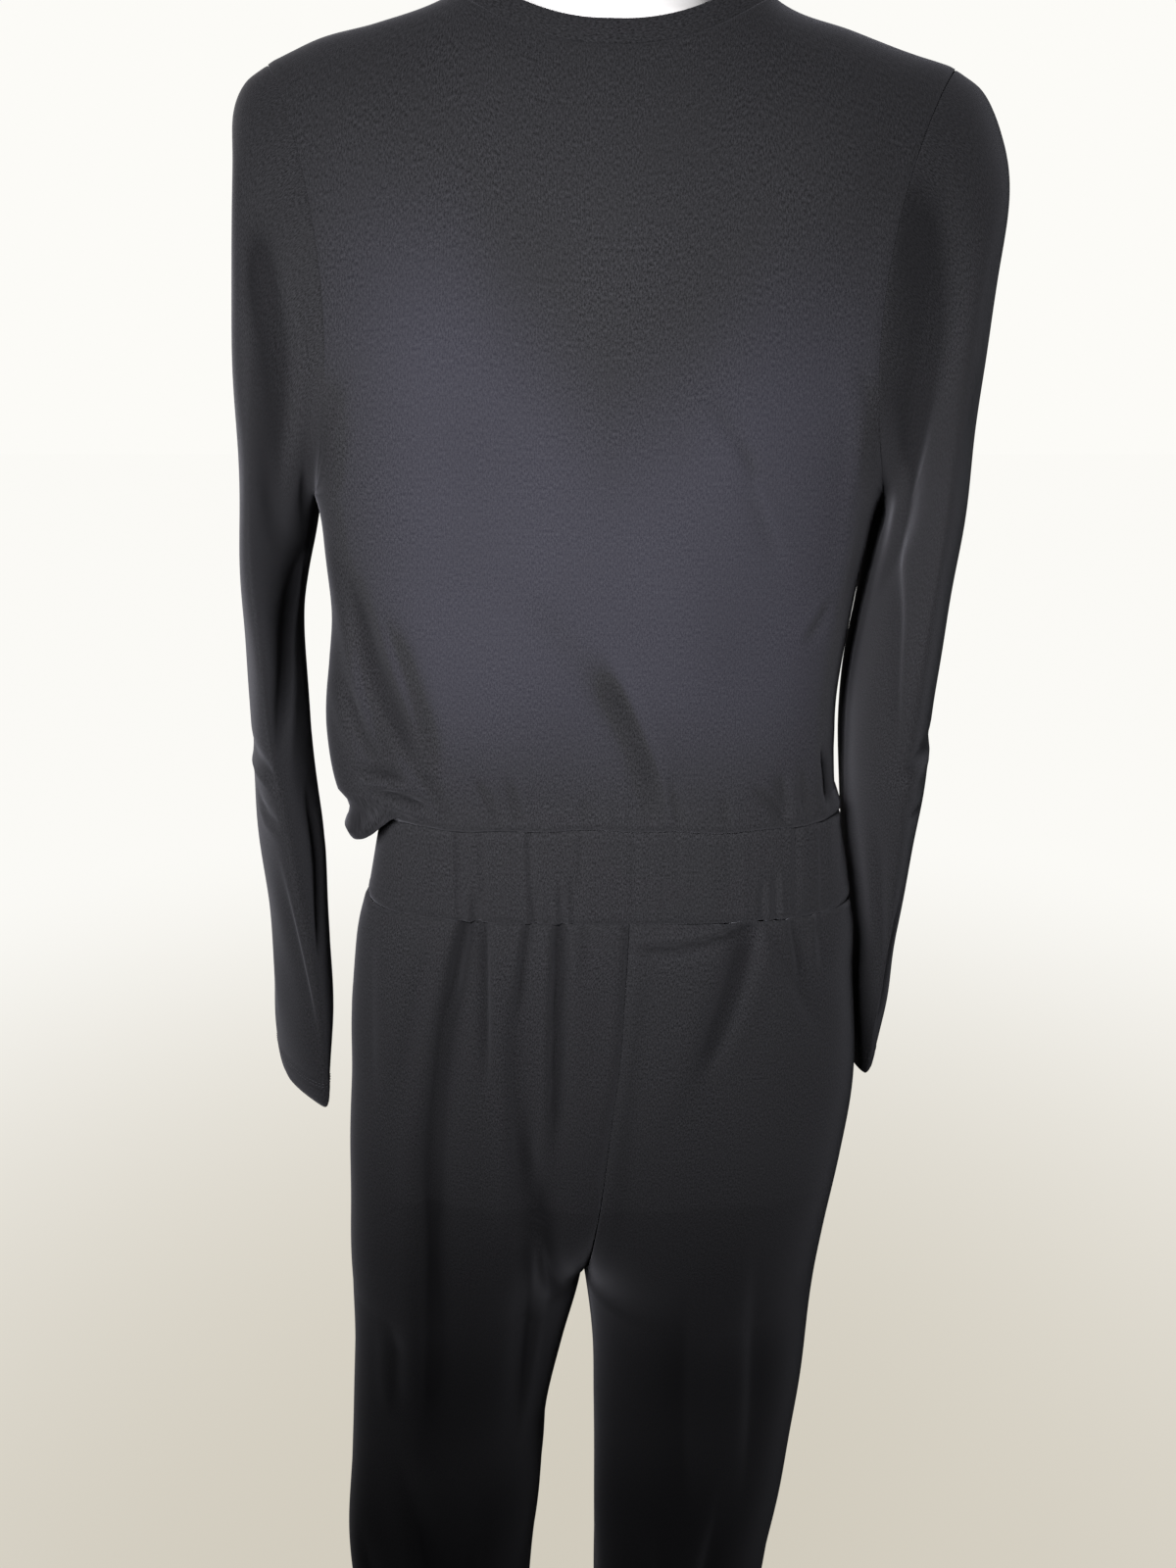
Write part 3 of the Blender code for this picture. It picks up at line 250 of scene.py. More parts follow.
# Each crease is a row: the side and height where it starts and where it ends, how far its
# middle bows to the right of that way, its depth and its half width, all in millimetres, and
# its lip. A negative depth is a ridge. The lip is how high the cloth swells beside it, as a
# share of the depth, on the left of that way where the sign is plus.
BACK_CREASES = crease_rows("""
     156 1206  109 1080 -4  4.6 7.5  .25
     130 1184  104 1090  2  2.6 6.5   .2
     152 1173  127 1084 -2    3 5.5   .3
     160 1142  134 1087 -3  3.4 5.5  .35
     152 1090  124 1085  1  4.2 3.5   .5
     142 1078  111 1068  1  4.6 3.5   .4
       3 1156  -33 1062  3  3.2   8 -.25
     -52 1304  -92 1250  1  1.3 5.5   .4
     -73 1276  -99 1214 -3  1.2   5  -.3
    -130 1104 -138 1062  0  2.6   5   .3
    -102 1090 -109 1060  0  2.2   4  -.3
    -136 1296 -127 1168  2 -1.7   6    0
    -127 1196 -112 1170  0  1.7   4   .3
     115 1092   98 1058  1  2.1 3.2   .3
      82 1090   67 1056  1  1.7   3   .3
      60 1090   52 1056  0  1.7 3.2 -.25
     -34 1092  -42 1055  0  1.5 3.2  .25
     -88 1084 -110 1056  2  1.9   3  -.3
    -114 1094 -120 1056  0  1.6 3.2  .25
      18 1078   14 1055  0    1 3.4   .2
     -68 1080  -72 1055  0    1 3.4  -.2
     172 1262  140 1320  3  1.4   7   .2
    -156 1262 -128 1330 -3  1.6   7  -.2
      50 1200  -10 1110  6  1.2  14    0
     110 1320   85 1200  4 -1.2  22    0
     -20 1250  -60 1130  4   -1  20    0
""")
CREASE_GAIN = 1.15           # every crease is this much deeper than its row says
STEEP_SIDE, GENTLE_SIDE = 0.60, 1.55   # widths of a crease's two sides, over its half width
LIP_AT, LIP_ROUND = 1.35, 0.95         # where the lip swells, and how round it is
FOLD_SHADE, FOLD_DEEP = 0.50, 0.0044   # darkest shade in a fold, and how deep that one is
CREASE_FADE = (0.22, 0.40)   # shares of a crease over which it deepens and dies away
CREASE_PAST = 0.1            # and the share that it runs on past its end

SEAM_DIVE = 0.0007           # how far an edge turns in where it is sewn
SEAM_ROUND = 0.0020          # how round that turn is
ARMHOLE_SOFTNESS = 0.65      # how much flatter the armhole seams lie
ALLOWANCE_RISE = 0.0003      # swelling over the seam allowance inside
ALLOWANCE_MIDDLE = 0.0045
ALLOWANCE_HALF = 0.0028
GATHER_HEIGHT = 0.0007       # gathers where the bodice is sewn to the elastic waistband
GATHER_SPACING = 0.0135
GATHER_REACH = 0.020         # how far up they run
GATHER_FALL = 1.5            # power by which they die away
GATHER_DRIFT = (0.42, 0.83)  # how far gathers drift to and fro, and over how many spacings
GATHER_UNEVEN = (0.38, 1.9)  # how much their height varies, and over how many spacings
SEAM_WANDER = 0.0009         # how far the waist seam wanders up and down
SLACK = 0.0009               # soft unevenness of hanging jersey
SLACK_WAVES = ((0.150, 0.4), (0.105, 1.9), (0.082, 2.7), (0.061, 1.2))   # length, direction
WANDER_WAVES = ((1.0, 37, 1.1), (0.6, 118, 0.0))     # share, radians in a metre, phase

BLOUSE_ROWS, BODY_ROWS, ARMHOLE_ROWS = 22, 66, 70
NECK_COLUMNS, OUTER_COLUMNS = 36, 58


def smooth(at, knots, values):
    """Cubic curve through (knots, values), with slopes from each knot's neighbours."""
    order = np.argsort(knots)
    x, y = knots[order], values[order]
    slope = np.gradient(y, x)
    at = np.clip(np.asarray(at, dtype=float), x[0], x[-1])
    i = np.clip(np.searchsorted(x, at) - 1, 0, len(x) - 2)
    step = x[i + 1] - x[i]
    t = (at - x[i]) / step
    return ((2 * t**3 - 3 * t**2 + 1) * y[i] + (t**3 - 2 * t**2 + t) * step * slope[i]
            + (3 * t**2 - 2 * t**3) * y[i + 1] + (t**3 - t**2) * step * slope[i + 1])


def read(columns, name, at):
    """A named column of a table, read smoothly at the given values of its first column."""
    return smooth(at, next(iter(columns.values())), columns[name])


def signed_power(value, power):
    """The value's size raised to the power, with its own sign."""
    return np.sign(value) * np.abs(value) ** power


def spread(places, left, right):
    """Side distances of places that run from -1 at the right side to 1 at the left."""
    return np.where(places > 0, places * left, places * right)


def unit(vectors):
    """The same vectors, one unit long."""
    return vectors / np.maximum(np.linalg.norm(vectors, axis=-1, keepdims=True), 1e-12)


def ease(at, start, end):
    """A smooth step from 0 at the start to 1 at the end."""
    t = np.clip((at - start) / (end - start), 0, 1)
    return t * t * (3 - 2 * t)


def torso(name, height):
    """One column of the torso table at the given heights."""
    return read(TORSO, name, np.minimum(height, CHEST_HEIGHT))


def ridge_height(side):
    """Height of the shoulder line over each side distance; it runs on over the neck."""
    left, right = (read(RIDGE, name, np.abs(side)) for name in ("left_height", "right_height"))
    return np.where(side > 0, left, right)


def torso_depth(side, height, face):
    """Front or back (y) of the cloth over the torso at each side distance and height.

    Up to the chest each section is a superellipse, |x/a|^n + |y/b|^n = 1. Above it the cloth
    rolls over to the shoulder line, where front and back meet.
    """
    power = SQUARENESS[face]
    middle = torso("side", height)
    reach = torso(face, height) - middle
    half = np.where(side > 0, torso("left", height), torso("right", height))
    inside = np.clip(1 - (np.abs(side) / half) ** power, 0, 1) ** (1 / power)
    rise = (height - CHEST_HEIGHT) / (ridge_height(side) - CHEST_HEIGHT)
    roll = np.clip(1 - np.clip(rise, 0, 1) ** 2, 0, 1) ** (SHOULDER_FULLNESS / 2)
    depth = reach * inside * roll
    if face == "front":
        for sign in (1, -1):
            spread_side, spread_height = BUST_SPREAD
            depth -= BUST_RISE * inside * roll * np.exp(
                -((side - sign * BUST_SIDE) / spread_side) ** 2
                - ((height - BUST_HEIGHT) / spread_height) ** 2)
    return middle + depth


def torso_normal(side, height, face, reach=0.001):
    """Outward normal of the torso's surface, from its slopes just below each point."""
    below = height - 2 * reach
    slope_x = (torso_depth(side + reach, below, face)
               - torso_depth(side - reach, below, face)) / (2 * reach)
    slope_z = (torso_depth(side, below + reach, face)
               - torso_depth(side, below - reach, face)) / (2 * reach)
    outward = 1 if face == "back" else -1
    return unit(outward * np.stack([-slope_x, np.ones_like(slope_x), -slope_z], axis=-1))


def shoulder_tip(sleeve):
    """Side distance and height of the outer end of a shoulder seam."""
    side = ARMHOLE[sleeve]["tip_side"]
    return side, float(ridge_height(np.array(side if sleeve == "left" else -side)))


def armhole_edge(sleeve, face, steps):
    """Armhole points from the armpit (step 0) up to the shoulder tip (last step)."""
    pit_side = ARMHOLE[sleeve]["pit_side"]
    tip_side, tip_height = shoulder_tip(sleeve)
    angle = math.pi * (1 - steps / ARMHOLE_STEPS)
    up = tip_height - CHEST_HEIGHT
    down = CHEST_HEIGHT - ARMPIT_HEIGHT
    height = CHEST_HEIGHT + np.where(np.cos(angle) > 0, up, down) * np.cos(angle)
    share_up = (height - ARMPIT_HEIGHT) / (tip_height - ARMPIT_HEIGHT)
    inset = ARMHOLE[sleeve][face + "_inset"] * np.abs(np.sin(angle)) ** ARMHOLE_CURVE
    return pit_side + (tip_side - pit_side) * share_up - inset, height


def neck_place():
    """Place of the neck points among the bodice columns, which run from -1 to 1."""
    return NECK_HALF / shoulder_tip("left")[0]


def neck_point(sleeve):
    """Side distance of a neck point, where shoulder seam and neckband meet."""
    return neck_place() * shoulder_tip(sleeve)[0]


def neck_seam_height(side):
    """Height of the back neck seam over each side distance."""
    half = np.where(side > 0, neck_point("left"), neck_point("right"))
    shoulder = ridge_height(np.sign(side) * half)
    rise = (np.abs(side) / half) ** NECK_BACK_CURVE
    return NECK_BACK_HEIGHT + (shoulder - NECK_BACK_HEIGHT) * rise


def waist_wander(side, face):
    """How far the waist seam runs above or below its level: two slow waves of the side."""
    turn = 0.0 if face == "back" else 2.0
    return SEAM_WANDER * sum(share * np.sin(rate * side + phase + turn)
                             for share, rate, phase in WANDER_WAVES)


def blouse_rows(places, face):
    """Rows between the waist seam and the body: plain blousing that grows into the bag."""
    power = SQUARENESS[face]
    left, right, middle, reach = (float(read(WAISTBAND, name, WAIST_TOP))
                                  for name in ("left", "right", "side", face))
    waist_x = spread(places, left, right)
    from_middle = (reach - middle) * (1 - np.abs(places) ** power) ** (1 / power)
    bag = ease(places, BAG_FROM, BAG_FULL)
    body_x = spread(places, torso("left", BODY_START), torso("right", BODY_START))
    body_y = torso_depth(body_x, np.full_like(body_x, BODY_START), face)
    outward = unit(np.stack([waist_x, from_middle * WAIST_ASPECT], axis=-1))
    steps = len(BLOUSE["step"])
    step = np.linspace(0, steps, BLOUSE_ROWS, endpoint=False)[:, None]
    plain_out, plain_up, bag_out, bag_up = (
        read(BLOUSE, name, step) for name in list(BLOUSE)[1:])
    over = np.clip(step - (steps - 1), 0, 1)
    out = (plain_out + (bag_out - plain_out) * bag) * (1 - over)
    up = plain_up + (bag_up - plain_up) * bag
    top = BODY_START - WAIST_TOP - SEAM_GAP
    up = up + (top - up) * over
    pull = (1 - bag) * step / steps
    pull = pull + (1 - pull) * over
    x = (waist_x + outward[:, 0] * out) * (1 - pull) + body_x * pull
    y = (middle + from_middle + outward[:, 1] * out) * (1 - pull) + body_y * pull
    z = WAIST_TOP + SEAM_GAP + up + waist_wander(x, face) * (1 - step / steps)
    return np.stack([x, y, z], axis=-1)


def body_rows(places, face):
    """Rows from above the blousing to the armpit, straight across at each height."""
    height = np.linspace(BODY_START, ARMPIT_HEIGHT, BODY_ROWS)[:, None]
    x = spread(places, torso("left", height), torso("right", height))
    z = np.broadcast_to(height, x.shape)
    return np.stack([x, torso_depth(x, z, face), z], axis=-1)


def column_places():
    """Places of the bodice columns from -1 to 1, with one at each neck point."""
    neck_angle = math.asin(neck_place())
    inner = np.linspace(0, neck_angle, NECK_COLUMNS, endpoint=False)
    outer = np.linspace(neck_angle, math.pi / 2, OUTER_COLUMNS)
    half = np.sin(np.concatenate([inner, outer]))
    return np.concatenate([-half[:0:-1], half])


def walk(points, axis, end="first"):
    """Distance along the cloth from the first or last line of a grid, in metres."""
    steps = np.linalg.norm(np.diff(points, axis=axis), axis=-1)
    start = np.zeros_like(np.take(steps, [0], axis=axis))
    gone = np.concatenate([start, np.cumsum(steps, axis=axis)], axis=axis)
    return gone if end == "first" else np.take(gone, [-1], axis=axis) - gone


def seam_rise(distance):
    """Rise of cloth beside a seam: a round dive at the edge and a swelling next to it."""
    dive = -SEAM_DIVE * np.exp(-(distance / SEAM_ROUND) ** 2)
    return dive + ALLOWANCE_RISE * np.exp(-((distance - ALLOWANCE_MIDDLE)
                                            / ALLOWANCE_HALF) ** 2)


def crease_rise(side, height, creases):
    """Rise of creased cloth: for each crease, minus its depth times a bell across its line.

    The bell is exp(-s^2), where s is the distance from the bowed line over its half width:
    less than that on the steep side, towards the lip, and more on the other. The lip is a
    second bell beside it. The crease deepens and dies away along its line.
    """
    rise = np.zeros_like(side)
    for x0, z0, x1, z1, bow, depth, half_width, lip in creases:
        length = math.hypot(x1 - x0, z1 - z0)
        way_x, way_z = (x1 - x0) / length, (z1 - z0) / length
        along = ((side - x0) * way_x + (height - z0) * way_z) / length
        across = (side - x0) * way_z - (height - z0) * way_x
        bent = np.clip(along, 0, 1)
        across = (across - bow * 4 * bent * (1 - bent)) / half_width
        fade = ease(along, -CREASE_FADE[0], CREASE_FADE[0])
        fade = fade * ease(1 - along, -CREASE_PAST, CREASE_FADE[1])
        to_lip = -across * np.sign(lip)
        wall = np.where(to_lip > 0, STEEP_SIDE, GENTLE_SIDE) if lip else 1.0
        swell = abs(lip) * np.exp(-((to_lip - LIP_AT) / LIP_ROUND) ** 2) if lip else 0.0
        rise += CREASE_GAIN * depth * fade * (swell - np.exp(-(across / wall) ** 2))
    return rise


def fold_shade(side, height, creases):
    """How dark the troughs of creases are: deeper ones let less light in."""
    depth = np.clip(-crease_rise(side, height, creases) / FOLD_DEEP, 0, 1)
    return FOLD_SHADE * depth ** 2


def ripple(along, spacing, seed):
    """Uneven gathers, from -1 to 0: a cosine whose phase and height both drift."""
    (drift, drift_reach), (uneven, uneven_reach) = GATHER_DRIFT, GATHER_UNEVEN
    phase = along / spacing + drift * np.sin(along / (drift_reach * spacing) + seed)
    height = 1 - uneven + uneven * np.sin(along / (uneven_reach * spacing) + 2.3 * seed)
    return -height * (0.5 + 0.5 * np.cos(2 * math.pi * phase))


def slack_rise(across, up, seed):
    """Soft unevenness, a sum of slow waves in four directions."""
    rise = np.zeros_like(across)
    for i, (wave, angle) in enumerate(SLACK_WAVES):
        way = across * math.cos(angle + seed) + up * math.sin(angle + seed)
        rise += SLACK / (1 + 0.5 * i) * np.sin(2 * math.pi * way / wave + seed * (i + 1.7))
    return rise


def grid_normals(points, closed=False):
    """Normals of a grid of points: across each point's row, then up its column."""
    if closed:
        across = np.roll(points, -1, axis=1) - np.roll(points, 1, axis=1)
    else:
        across = np.gradient(points, axis=1)
    return unit(np.cross(across, np.gradient(points, axis=0)))


def raise_cloth(points, rise, outward, closed=False):
    """Move a grid along its normals, which are turned so that they face outward."""
    return points + grid_normals(points, closed) * outward * rise[..., None]


def new_piece(name, mesh, material):
    """The object of one piece: smooth, of one material, and fixed to the only body."""
    mesh.shade_smooth()
    mesh.materials.append(material)
    piece = bpy.data.objects.new(name, mesh)
    scene.collection.objects.link(piece)
    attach(piece, "root")
    return piece


def add_cloth(name, points, outward, material, thickness=JERSEY, closed=False, tone=None,
              skip=None, joined=None):
    """A shell of cloth from a grid of its outer face, with a UV map in metres of cloth.

    closed joins the last column to the first, skip leaves out one column of cells, and
    joined gives the point that stands for each point of the grid. The tone attribute is above
    0 where paler light is painted on, and below 0 where the cloth is painted darker, mostly as
    painted shade.
    """
    rows, columns = points.shape[:2]
    lines = np.concatenate([points, points[:, :1]], axis=1) if closed else points
    width = lines.shape[1]
    across = walk(lines, 1)
    across = across - across[:, width // 2:width // 2 + 1]
    up = np.broadcast_to(walk(lines, 0)[:, width // 2:width // 2 + 1], across.shape)
    index = np.arange(rows * width).reshape(rows, width)
    cells = np.stack([index[:-1, :-1], index[:-1, 1:], index[1:, 1:], index[1:, :-1]], axis=-1)
    if skip is not None:
        cells = np.delete(cells, skip, axis=1)
    cells = cells.reshape(-1, 4)
    if outward < 0:
        cells = cells[:, ::-1]
    point_of = (index // width * columns + index % width % columns).reshape(-1)
    if joined is not None:
        point_of = joined[point_of]
    corners = point_of[cells.reshape(-1)]
    used, corners = np.unique(corners, return_inverse=True)
    mesh = bpy.data.meshes.new(name)
    mesh.vertices.add(len(used))
    mesh.vertices.foreach_set("co", points.reshape(-1, 3)[used].ravel())
    mesh.loops.add(len(corners))
    mesh.loops.foreach_set("vertex_index", corners)
    mesh.polygons.add(len(cells))
    mesh.polygons.foreach_set("loop_start", np.arange(0, len(corners), 4))
    chart = mesh.uv_layers.new(name="cloth")
    flat = np.stack([across.ravel(), up.ravel()], axis=-1)[cells.reshape(-1)]
    chart.uv.foreach_set("vector", flat.ravel())
    shade = mesh.attributes.new("tone", "FLOAT", "POINT")
    shade.data.foreach_set("value", np.zeros(len(used)) if tone is None else tone.ravel()[used])
    mesh.update(calc_edges=True)
    mesh.validate()
    piece = new_piece(name, mesh, material)
    wall = piece.modifiers.new("wall", "SOLIDIFY")
    wall.thickness = thickness
    wall.offset = -1
    return piece


def finish_cloth(node):
    """Put a shell in place of its solid: hide the solid."""
    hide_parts(node)


# Viscose jersey, knitted fine and brushed. It is black but not deep: the nap catches light
# from the side as a soft grey bloom, paler and darker fibres make a fine heather, and the
# knit's upright wales just show. Both are drawn coarser than they are, to show at all: the
# wales at twice the real 0.7 mm, and single fibres as a grain of 0.8 mm.
WALE_MM, COURSE_MM = 1.4, 1.2
GRAIN_MM, MOTTLE_MM = 0.8, 55.0
MM = 1000.0
WAVE_TURN = 2 * math.pi / 20      # a wave texture's period at scale 1

tree, shader, jersey = new_material("black brushed viscose jersey")
chart = add_node(tree, "ShaderNodeUVMap", uv_map="cloth").outputs["UV"]
in_mm = add_node(tree, "ShaderNodeMapping",
                 {"Vector": chart, "Scale": (MM, MM, MM)}).outputs["Vector"]
wales = add_node(tree, "ShaderNodeTexWave", {"Vector": in_mm, "Scale": WAVE_TURN / WALE_MM,
                                             "Distortion": 0.7, "Detail": 1.0},
                 bands_direction="X").outputs["Fac"]
courses = add_node(tree, "ShaderNodeTexWave",
                   {"Vector": in_mm, "Scale": WAVE_TURN / COURSE_MM, "Distortion": 0.9,
                    "Detail": 1.0}, bands_direction="Y").outputs["Fac"]
fleck_map = add_node(tree, "ShaderNodeMapping", {"Vector": in_mm, "Scale": (1.0, 0.45, 1.0)})
flecks = add_node(tree, "ShaderNodeTexNoise", {"Vector": fleck_map.outputs["Vector"],
                                               "Scale": 1 / GRAIN_MM, "Detail": 3.0,
                                               "Roughness": 0.7}).outputs["Fac"]
heather = add_node(tree, "ShaderNodeMapRange", {"Value": flecks, "From Min": 0.36,
                                                "From Max": 0.68}).outputs["Result"]
mottle = add_node(tree, "ShaderNodeTexNoise", {"Vector": in_mm, "Scale": 1 / MOTTLE_MM,
                                               "Detail": 4.0, "Roughness": 0.6}).outputs["Fac"]
mottle = add_node(tree, "ShaderNodeMapRange", {"Value": mottle, "From Min": 0.35,
                                               "From Max": 0.70, "To Max": 0.45})
tone = add_node(tree, "ShaderNodeAttribute", attribute_name="tone").outputs["Fac"]
colour = blend_colours(tree, heather, "#0d0d0e", "#2f2f31")
colour = blend_colours(tree, mottle.outputs["Result"], colour, "#202021")
# Where the tone attribute is above 0 the colour turns paler and bluish: painted light. Below 0 it
# turns near black: mostly painted shade, partly the darker look of cloth with no white form behind
# it.
colour = blend_colours(tree, tone, colour, "#3c3b47")
shaded = add_node(tree, "ShaderNodeMath", {0: tone, 1: -1.0}, operation="MULTIPLY",
                  use_clamp=True).outputs["Value"]
colour = blend_colours(tree, shaded, colour, "#040405")
tree.links.new(colour, shader.inputs["Base Color"])
stitch = add_node(tree, "ShaderNodeMath", {0: wales, 1: courses}, operation="MULTIPLY")
relief = add_node(tree, "ShaderNodeMath", {0: flecks, 1: stitch.outputs["Value"]},
                  operation="ADD").outputs["Value"]
bump = add_node(tree, "ShaderNodeBump", {"Height": relief, "Strength": 0.5,
                                         "Distance": 0.00010}).outputs["Normal"]
tree.links.new(bump, shader.inputs["Normal"])
shader.inputs["Roughness"].default_value = 0.93
shader.inputs["Specular IOR Level"].default_value = 0.10
shader.inputs["Sheen Weight"].default_value = 0.12
shader.inputs["Sheen Roughness"].default_value = 0.50
shader.inputs["Sheen Tint"].default_value = linear("#d6d6de")


def back_points(places):
    """The back's grid, before its creases: from the waist seam to shoulders and neck.

    A row's height runs from that of its armhole steps to the same share of the way up to
    the neck seam, so the last row is the shoulder and neck seam itself.
    """
    (left_tip_x, left_tip_z), (right_tip_x, right_tip_z) = map(shoulder_tip, ARMHOLE)
    top_x = spread(places, left_tip_x, right_tip_x)
    top = np.where(np.abs(places) < neck_place() - 1e-6,
                   neck_seam_height(top_x), ridge_height(top_x))
    tip = np.where(places > 0, left_tip_z, right_tip_z)
    step = np.linspace(0, ARMHOLE_STEPS, ARMHOLE_ROWS + 1)[1:, None]
    left_x, left_z = armhole_edge("left", "back", step)
    right_x, right_z = armhole_edge("right", "back", step)
    x = spread(places, left_x, right_x)
    edge = np.where(places > 0, left_z, right_z)
    z = ARMPIT_HEIGHT + (edge - ARMPIT_HEIGHT) / (tip - ARMPIT_HEIGHT) * (top - ARMPIT_HEIGHT)
    upper = np.stack([x, torso_depth(x, z, "back"), z], axis=-1)
    return np.concatenate([blouse_rows(places, "back"), body_rows(places, "back"), upper])


SEAM_CALM = (-0.002, 0.012)  # distances from a seam between which creases come to their own
SLACK_CALM = (0.0, 0.030)    # and the same for the slack
GATHER_SIDES = 8             # power by which gathers fade at the side seams
CHEST_CALM = 0.050           # how far below the chest the armhole seams lie fully flat


def bodice_rise(points, places, creases, seams, seed):
    """Rise of a bodice panel: creases, seams, gathers above the waist, and slack cloth."""
    side, height = points[..., 0], points[..., 2]
    gather = GATHER_HEIGHT * ripple(side, GATHER_SPACING, seed)
    gather = gather * np.exp(-(walk(points, 0) / GATHER_REACH) ** GATHER_FALL)
    nearest = np.minimum.reduce(seams)
    rise = crease_rise(side, height, creases) * ease(nearest, *SEAM_CALM)
    rise = rise + gather * (1 - np.abs(places) ** GATHER_SIDES)
    rise = rise + slack_rise(side, height, seed) * ease(nearest, *SLACK_CALM)
    flatter = 1 - ARMHOLE_SOFTNESS * ease(height, ARMPIT_HEIGHT, CHEST_HEIGHT - CHEST_CALM)
    ends, sides = seams[:2] + seams[4:], seams[2:4]
    return (rise + sum(seam_rise(seam) for seam in ends)
            + flatter * sum(seam_rise(seam) for seam in sides))


# A paler, bluish colour is painted on the back as painted light: most over the middle of the
# # back below the front's V, and not at all past the form. The sides below the arms and the
# # troughs of the creases are painted darker: painted shade.
PAINTED_LIGHT_TOP = table("""
    side height
    -.215 1.372
    -.127 1.356
    -.082 1.348
    -.038 1.306
     .004 1.288
     .020 1.303
     .083 1.378
     .140 1.392
     .215 1.392
""")
PAINTED_LIGHT_SOFT, PAINTED_LIGHT_DEPTH = 0.058, 0.22    # half the width of its upper edge, and its strength
PAINTED_LIGHT_SIDES, PAINTED_LIGHT_LOW = (0.185, 0.095), (1.052, 1.160)   # where it fades in from side and waist
SIDE_SHADE, SIDE_SHADE_FROM = 0.50, 0.86   # the sides' shade, and the place where it begins
SIDE_SHADE_UP = (1.33, 1.24)   # heights between which it comes in under the arm

places = column_places()
back = back_points(places)
seams = [walk(back, 0), walk(back, 0, "last"), walk(back, 1), walk(back, 1, "last")]
side, height = back[..., 0], back[..., 2]
tone_map = ease(np.interp(side, *PAINTED_LIGHT_TOP.values()) - height, -PAINTED_LIGHT_SOFT, PAINTED_LIGHT_SOFT)
tone_map = PAINTED_LIGHT_DEPTH * tone_map * ease(height, *PAINTED_LIGHT_LOW) * ease(np.abs(side), *PAINTED_LIGHT_SIDES)
under_arm = ease(height, *SIDE_SHADE_UP)
tone_map = tone_map - SIDE_SHADE * ease(np.abs(places), SIDE_SHADE_FROM, 1.0) * under_arm
tone_map = tone_map - fold_shade(side, height, BACK_CREASES)
shell = raise_cloth(back, bodice_rise(back, places, BACK_CREASES, seams, 0.7), -1)
piece = add_cloth("back_bodice", shell, -1, jersey, tone=tone_map)
finish_cloth("bodice_back")

# ================================================================ front bodice
# One piece of the same jersey with a plain V neck, gathered to the waistband like the back
# and filled by the form's bust.
V_STEP = 2                   # armhole step that carries the point of the V
V_BOW = 0.006                # how far the V edges bow outwards
SHOULDER_EASE = 3            # power by which the front's rows turn to the shoulder line
FRONT_CREASES = crease_rows("""
     140 1198   94 1072 -3 4.6   8   .3
     152 1150  124 1080 -2 3.6 6.5  .25
     112 1170   78 1066  2 2.6   7 -.25
      60 1176   40 1062  3 3.4   8  .25
      10 1140    6 1060  0 2.2   6   .2
     -30 1160  -18 1062 -3 3.4 7.5 -.25
     -68 1150  -50 1062  2 2.2   6  .25
    -110 1192  -82 1064  4 3.8   8   .3
    -128 1150 -112 1064  0 2.6   6 -.25
     150 1272  104 1262  2 2.2   7  .25
     150 1292  110 1312 -2 1.8   7  .25
    -148 1272 -104 1258  3 2.4   7 -.25
    -150 1296 -112 1318  2 1.8 7.5   .2
      30 1286   62 1240  4 1.8   9   .2
     -26 1280  -60 1232 -4 1.8   9  -.2
     126 1430   98 1350  4 1.4  10   .2
    -124 1424  -96 1346 -4 1.4  10  -.2
      18 1110   20 1058  0 1.4 4.5   .2
     104 1104  100 1058  0 1.8 4.5  -.2
     -96 1098  -98 1058  0 1.6 4.5   .2
""")
# The row of the front's grid that carries the point of the V.
V_ROW = BLOUSE_ROWS + BODY_ROWS - 1 + V_STEP * ARMHOLE_ROWS // ARMHOLE_STEPS


def v_height(step):
    """Height of the front's middle between the armpit and the V's point."""
    return sum(armhole_edge(sleeve, "front", step)[1] for sleeve in ARMHOLE) / 2


def front_points(places):
    """The front's grid, before its creases. Its middle column is doubled, parted by the V.

    Each row runs from the V's edge, a line that bows outwards, to the armhole's edge, and
    turns towards the shoulder line as it climbs.
    """
    centre = len(places) // 2
    halves = np.insert(places, centre, 0.0)
    lower = np.concatenate([blouse_rows(places, "front"), body_rows(places, "front")])
    lower = np.insert(lower, centre, lower[:, centre], axis=1)
    step = np.linspace(0, ARMHOLE_STEPS, ARMHOLE_ROWS + 1)[1:, None]
    climb = np.clip((step - V_STEP) / (ARMHOLE_STEPS - V_STEP), 0, 1)
    start = v_height(np.float64(V_STEP))
    sides = []
    for sign, sleeve, half in ((-1, "right", slice(None, centre + 1)),
                               (1, "left", slice(centre + 1, None))):
        out = np.abs(halves[half])
        edge_x, edge_z = armhole_edge(sleeve, "front", step)
        neck = neck_point(sleeve)
        shoulder = float(ridge_height(np.array(sign * neck)))
        neck_x = neck * climb + V_BOW * np.sin(math.pi * climb)
        neck_z = np.where(step > V_STEP, start + (shoulder - start) * climb, v_height(step))
        x = sign * (neck_x + (edge_x - neck_x) * out)
        z = neck_z + (edge_z - neck_z) * out
        z = z + (ridge_height(x) - z) * climb ** SHOULDER_EASE
        sides.append(np.stack([x, torso_depth(x, z, "front"), z], axis=-1))
    return np.concatenate([lower, np.concatenate(sides, axis=1)]), halves, centre


